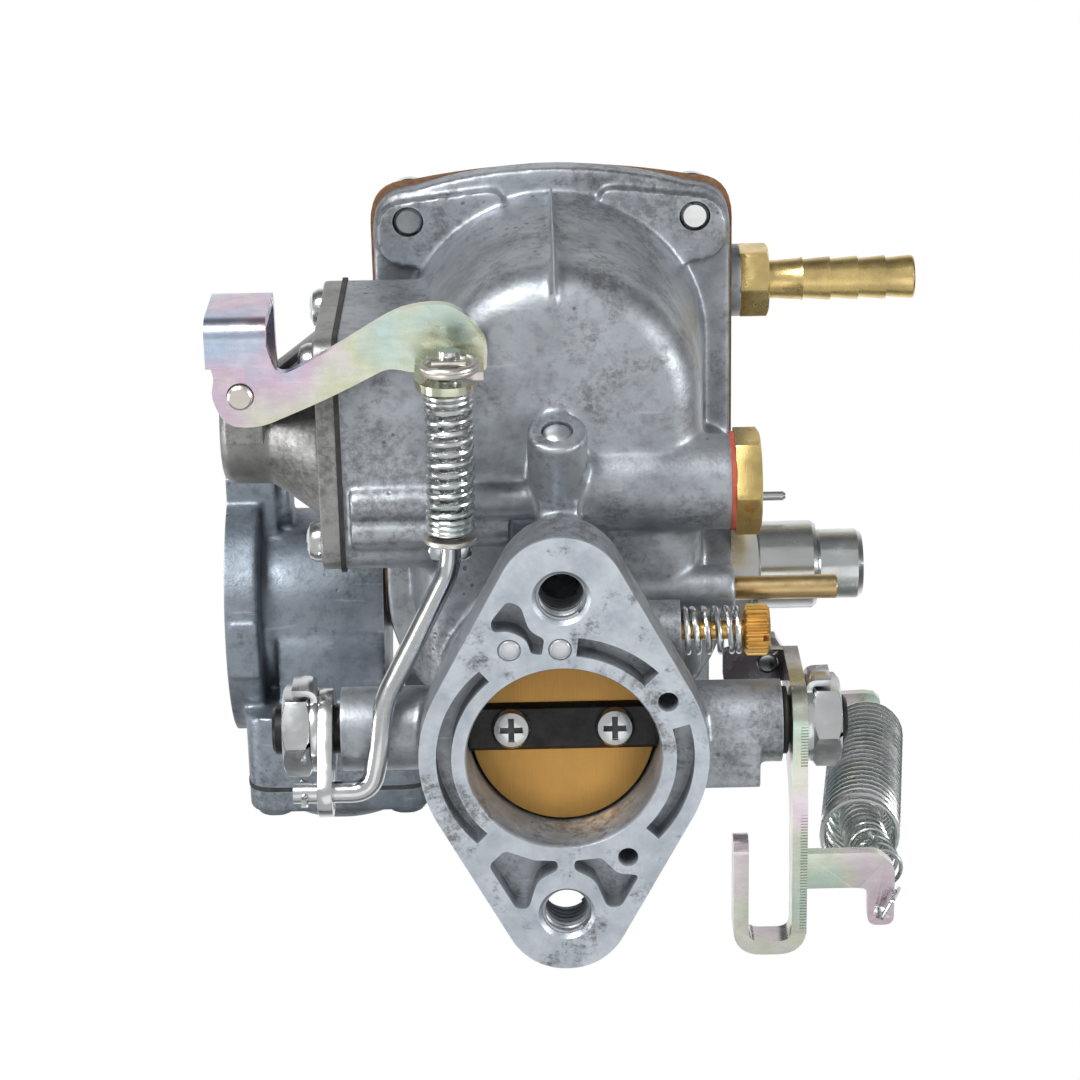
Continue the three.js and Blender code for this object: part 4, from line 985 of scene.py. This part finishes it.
def return_springs():
    """Two concentric tension springs; the inner one comes out below and hooks into the lever's arm."""
    start, end = Vector((47.2, 21.5, 10)), Vector((54.8, 28, 67))
    axis = (end - start).normalized()
    tab = Vector((50.2, 30.4, 4.2))
    for name, radius, wire, first, turns in (
        ("outer_return_spring", 6.1, 0.44, 4.2, 24), ("inner_return_spring", 3.3, 0.36, -1.2, 40),
    ):
        coil = helix(start + axis * first, end - axis * 1.2, radius, [1] * turns, 24)
        if radius < 4:
            bent = len(coil) // 4
            coil[:bent] = [at + Vector((4.4, 5, 1)) * (1 - i / bent) ** 2 for i, at in enumerate(coil[:bent])]
        upper = [coil[-1], end - axis * 0.5 + Vector((0.6, 0.6, 0)), Vector((56, 29.2, 74)),
            Vector((56, 29.2, 81.4)),
            Vector((56, 30.6, 82))]
        if radius > 4:
            lower = [start + axis * 3.4 + Vector((1.4, -1.6, 0)),
                start + axis * 3.2 + Vector((3.4, 2.2, 0)), coil[0]]
        else:
            lower = [tab + Vector((0, 0.5, 2.6)), tab + Vector((0, 0.3, -1.6)),
                tab + Vector((1.6, -3.4, -2.2)), coil[0]]
        path = bend(lower, 0.7, 4) + coil[1:] + bend(upper, 0.6, 4)[1:]
        piece = make(name + "_coil", tube(path, wire, 8), WIRE, None, name)
        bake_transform(piece)


# ---- right-hand fittings
def hex_fitting(name, at, flats, start, end, chamfer=0.5):
    """A hexagon across X; its outer end has a turned chamfer."""
    corner = flats / sqrt(3)
    piece = raw(name, prism("x", circle(*at, corner, 6, radians(30)), start, end))
    cone = [(0, start), (corner + 0.2, start), (corner + 0.2, end - chamfer), (flats / 2 + 0.1, end),
        (0, end)]
    carve(piece, turned("x", cone, at), "INTERSECT")
    return piece


def fittings():
    low, high = span("fuel_inlet_barb", 0)
    barb = hex_fitting("fuel_barb_hex", INLET, 11.3, 32.5, 37.5)
    crests = [43.5, 48.3, 53.1, 57.9]
    profile = [(1.9, low), (4.3, low), (4.3, 32.6), (3.3, 37.4), (3.3, 38.8), (3.6, 43)]
    for crest in crests[:-1]:
        profile += [(3.8, crest), (3.35, crest + 0.05)]
    profile += [(3.8, crests[-1]), (3.35, crests[-1] + 0.05), (3.75, 62), (3.75, high - 0.3), (3.5, high),
        (1.9, high)]
    carve(barb, turned("x", profile, INLET, 72), "UNION")
    carve(barb, rod("x", 1.9, 20, 70, INLET))
    soften(barb, 0.12, 30)
    finish_piece(barb, BRASS, ROOT, "fuel_inlet_barb", 28)

    plug = hex_fitting("jet_plug_hex", JET, 15.2, 28.3, 32.4, 0.6)
    carve(plug, rod("x", 3.3, 20, 29, JET), "UNION")
    soften(plug, 0.15, 25)
    finish_piece(plug, PLUG_BRASS, ROOT, "main_jet_plug", 28)
    washer = [(3.7, 27.5), (7.9, 27.5), (8, 27.65), (8, 28.2), (7.9, 28.3), (3.7, 28.3)]
    make("plug_washer_ring", turned("x", washer, JET), FIBRE, ROOT, "plug_washer")

    valve = hex_fitting("solenoid_hex", VALVE, 17, 28.8, 33.3)
    can = [(1.7, 20), (4, 20), (4, 29), (4.2, 33), (6.9, 33.2), (7.4, 33.7), (7.4, 42.6), (6.9, 43.3),
        (5.4, 43.4),
           (5.85, 43.9), (5.85, 50.2), (5.2, 51.1), (1.7, 51.1)]
    carve(valve, turned("x", [(0, can[0][1]), *can[1:-1], (0, 51.1)], VALVE), "UNION")
    carve(valve, rod("x", 1.7, 19, 36, VALVE))
    soften(valve, 0.12, 30)
    finish_piece(valve, STEEL, ROOT, "idle_cutoff_valve", 28)

    pipe = [(1.2, 22), (1.95, 22), (1.95, 44.8), (1.8, 45), (1.3, 45), (1.2, 44.8)]
    make("vacuum_pipe", turned("x", pipe, TUBE, 48), TUBE_BRASS, ROOT, "vacuum_tube")
    pin = middle("breather_pin")[1:]
    make("breather_pin_turned", turned("x", [(0, 27), (0.8, 27), (0.8, 38.2), (0.5, 38.6), (0, 38.6)], pin,
        24), STEEL,
         ROOT, "breather_pin")


def mixture_screw():
    low, high = span("mixture_screw", 0)
    start = 28.9
    ridges = 26
    section = []
    for k in range(ridges * 4):
        radius = 4.15 if k % 4 in (1, 2) else 3.75
        angle = 2 * pi * k / (ridges * 4)
        section.append((MIXTURE[0] + radius * cos(angle), MIXTURE[1] + radius * sin(angle)))
    screw = raw("mixture_screw_turned", prism("x", section, start, high))
    cone = [(0, start), (3.3, start), (4.3, start + 0.7), (4.3, high - 0.7), (3.4, high), (0, high)]
    carve(screw, turned("x", cone, MIXTURE), "INTERSECT")
    carve(screw, turned("x", [(0, low), (0.3, low), (1.5, 16), (1.5, start + 0.5), (0, start + 0.5)],
        MIXTURE, 32), "UNION")
    carve(screw, box3((high - 1.2, high + 1), (MIXTURE[0] - 0.5, MIXTURE[0] + 0.5),
        (MIXTURE[1] - 6, MIXTURE[1] + 6)))
    finish_piece(screw, ORANGE_BRASS, "idle_mixture", "mixture_screw", 20)
    coil = helix((19.4, *MIXTURE), (28.4, *MIXTURE), 3.45, [0.7] + [1.35] * 4 + [0.7], 36)
    make("mixture_spring_coil", tube(coil, 0.5, 10), WIRE, ROOT, "mixture_spring")


# ---- choke and vacuum unit
def vacuum_outline(grow=0.0):
    """The outline of the vacuum chamber as (z, x)."""
    left, right, low, high = -56 - grow, -23.6 + grow, 60.5 - grow, 91.5 + grow
    points = [(left, low, 5), (right, low, 5), (right, 84, 6), (-30, high, 5), (-50, high, 5), (left, 84, 6)]
    return [(z, x) for x, z in rounded(points, 8)]


def choke():
    centre = (-39.5, 76)
    edge = span("vacuum_diaphragm", 1)
    outer = span("choke_housing", 0)[0]
    y, z = DRUM
    solids = [
        rod("x", 17, -54, -30, DRUM, 96),
        rod("x", 23.1, outer - 1, -52.6, DRUM, 128),
        box3((outer - 1, -49.8), (y - 26.8, y - 14), (z - 7.2, z + 5.2)),
        rod("x", 5.6, -54, -47.5, (y - 20.5, z - 1)),
        prism("y", vacuum_outline(), 20, edge[0] + 1),
        rod("x", 15.5, -50, -31, (16, 82), 96),
        box3((-57.6, -52.8), (y - 5, y + 5), (z - 23, z - 14)),
        *[rod("y", 4.2, 24, edge[0] + 1, at) for at in ((-51, 65.5), (-28.6, 65.5))],
    ]
    faces = [
        box3((-31, -28), (-20, 30), (55, 110)),
        box3((outer - 5, outer), (-31, 40), (60, 112)),
        box3((-60, -20), (edge[0], 40), (50, 105)),
    ]
    bores = [
        turned("x", [(0, outer - 1), (20.8, outer - 1), (20.8, -55.9), (13, -55.9), (13, -36), (0, -36)],
            DRUM, 96),
        rod("y", 11.5, 27.5, edge[0] + 1, centre),
    ]
    spindle_hole = [rod("x", 2.2, -37, -29, CHOKE)]
    casting("choke_housing_shell", solids, [faces, bores, spindle_hole], CAST_BLUE, "choke_housing", 0.5, 5)
    low, high = edge[1], span("vacuum_cover", 1)[1]
    cover = [
        prism("y", vacuum_outline(), low - 1, high - 3.2),
        turned("y", [(0, high - 4), (13.6, high - 4), (12.8, high - 1.6), (11.4, high), (0, high)], centre),
        *[rod("y", 3.4, low, high - 1.4, at) for at in ((-51.5, 66), (-28, 66), (-39.5, 88.6))],
    ]
    joint = [box3((-60, -20), (low - 4, low), (50, 105))]
    hollow = [rod("y", 11, low - 1, high - 2, centre)]
    casting("vacuum_cover_shell", cover, [joint, hollow], CAST_BLUE, "vacuum_cover", 0.45, 5)
    sheet = prism("y", vacuum_outline(0.1), *edge)
    make("vacuum_diaphragm_sheet", sheet, RUBBER, ROOT, "vacuum_diaphragm")


# ---- nodes that keep their CAD shape
def keep(node, material, bevel):
    """Softens the edges of a CAD node and gives it its finish."""
    obj = NODES[node]
    modifier = obj.modifiers.new("edges", "BEVEL")
    modifier.width = bevel * MM
    modifier.segments = 2
    modifier.limit_method = "ANGLE"
    modifier.angle_limit = radians(35)
    if not obj.material_slots:
        obj.data.materials.append(material)
    for slot in obj.material_slots:
        slot.link = "OBJECT"
        slot.material = material


def kept_nodes():
    small = ("main_jet", "needle_valve", "choke_coil", "idle_cutoff_plunger")
    for node, material in {
        "venturi": CAST, "float": PLASTIC, "float_pin": PIN_STEEL, "needle_valve": BRASS,
        "needle_seat": BRASS,
        "main_jet": BRASS, "idle_cutoff_plunger": STEEL, "pump_plunger": STEEL, "pump_return_spring": WIRE,
        "spring_bracket": LEVER_2, "choke_shaft": STEEL, "choke_plate": PLATE_BRASS, "choke_cap": PLASTIC,
        "choke_ring": LEVER, "choke_coil": TUBE_BRASS,
    }.items():
        keep(node, material, 0.12 if node in small else 0.25)
    start, end = span("pump_lever_pin", 2)
    pin = [(0, start), (1.6, start), (2, start + 0.35), (2, end - 0.4), (1.6, end), (0, end)]
    make("pump_pivot_pin", turned("z", pin, PIN, 40), PIN_STEEL, ROOT, "pump_lever_pin")
    start, end = span("right_shaft_seal", 0)
    ring = [(4.05, start), (5.2, start), (5.4, start + 0.3), (5.4, end - 0.2), (5.2, end), (4.05, end)]
    make("shaft_seal_ring", turned("x", ring, SHAFT), RUBBER, ROOT, "right_shaft_seal")


# ---- camera, floor and light
def camera():
    """Under the carburetor and a little in front of it, looking up at the flange."""
    pitch, roll = radians(21.4), radians(1.2)
    right = Vector((1, 0, 0))
    up = Vector((0, -cos(pitch), sin(pitch)))
    ahead = Vector((0, sin(pitch), cos(pitch)))
    right, up = right * cos(roll) - up * sin(roll), up * cos(roll) + right * sin(roll)
    distance, focal, image_width = 462.0, 2980.0, 1080
    place = -distance * ahead - right * (24.1 * distance / focal) + up * (219.6 * distance / focal)
    data = bpy.data.cameras.new("camera")
    data.sensor_width = 36
    data.lens = data.sensor_width * focal / image_width
    obj = new_object("camera", data)
    turn = Matrix((right, up, -ahead)).transposed().to_4x4()
    obj.matrix_world = Matrix.Translation(place * MM) @ turn
    bpy.context.scene.camera = obj


def area_light(name, place, size, power, target=(0, -0.01, 0.03)):
    data = bpy.data.lights.new(name, "AREA")
    data.size = size
    data.energy = power
    obj = new_object(name, data)
    obj.location = place
    obj.rotation_euler = (Vector(target) - Vector(place)).to_track_quat("-Z", "Y").to_euler()


def stage():
    """A pale floor far below, a white surround and soft lamps on the camera's side."""
    floor = raw("floor", box3((-3000, 3000), (-3000, 3000), (-1210, -1200)))
    n = Finish("pale_floor", 0.0, 0.8)
    n.color(n.ramp(n.noise(3, 3), [(0.3, (0.78, 0.78, 0.78)), (0.7, (0.84, 0.84, 0.84))]))
    floor.data.materials.append(n.owner)
    world = Nodes(bpy.data.worlds.new("white_surround"), "Generated")
    upward = (0, 0.365, 0.931)
    greys = ((0.0, 0.36), (0.3, 0.26), (0.5, 0.13), (0.68, 0.26), (0.88, 1.0))
    share = world.spread(world.dot(world.where, upward), -1, 1)
    sky = world.tree.nodes["Background"]
    world.feed(sky.inputs["Color"], world.ramp(share, [(place, (grey, grey, grey)) for place, grey in greys]))
    sky.inputs["Strength"].default_value = 1.0
    bpy.context.scene.world = world.owner
    area_light("key", (-0.3, -0.62, -0.3), 0.3, 5)
    area_light("side", (0.6, -0.15, -0.25), 0.22, 2.4)
    area_light("left", (-0.6, 0.05, -0.15), 0.22, 1.6)
    area_light("front", (0.05, 0.12, -0.75), 0.5, 0.45)
    bpy.context.scene.view_settings.view_transform = "Standard"


def pump_cover_screws():
    for i, at in enumerate(PUMP_SCREWS):
        pan_screw(f"pump_cover_screw_{i + 1}", "x", at, -28.5, -38.2, -40.6, 3.3, 1.5, -1, STEEL, ROOT)


for step in (
    camera, stage, body_casting, stud_threads, lead_plugs, top_cover, cover_gasket, cover_screws, pump_cover,
    pump_diaphragm, pump_cover_screws, pump_lever, pump_link, throttle, pump_arm, throttle_lever,
    fast_idle_screw, return_springs, fittings, mixture_screw, choke, kept_nodes,
):
    step()
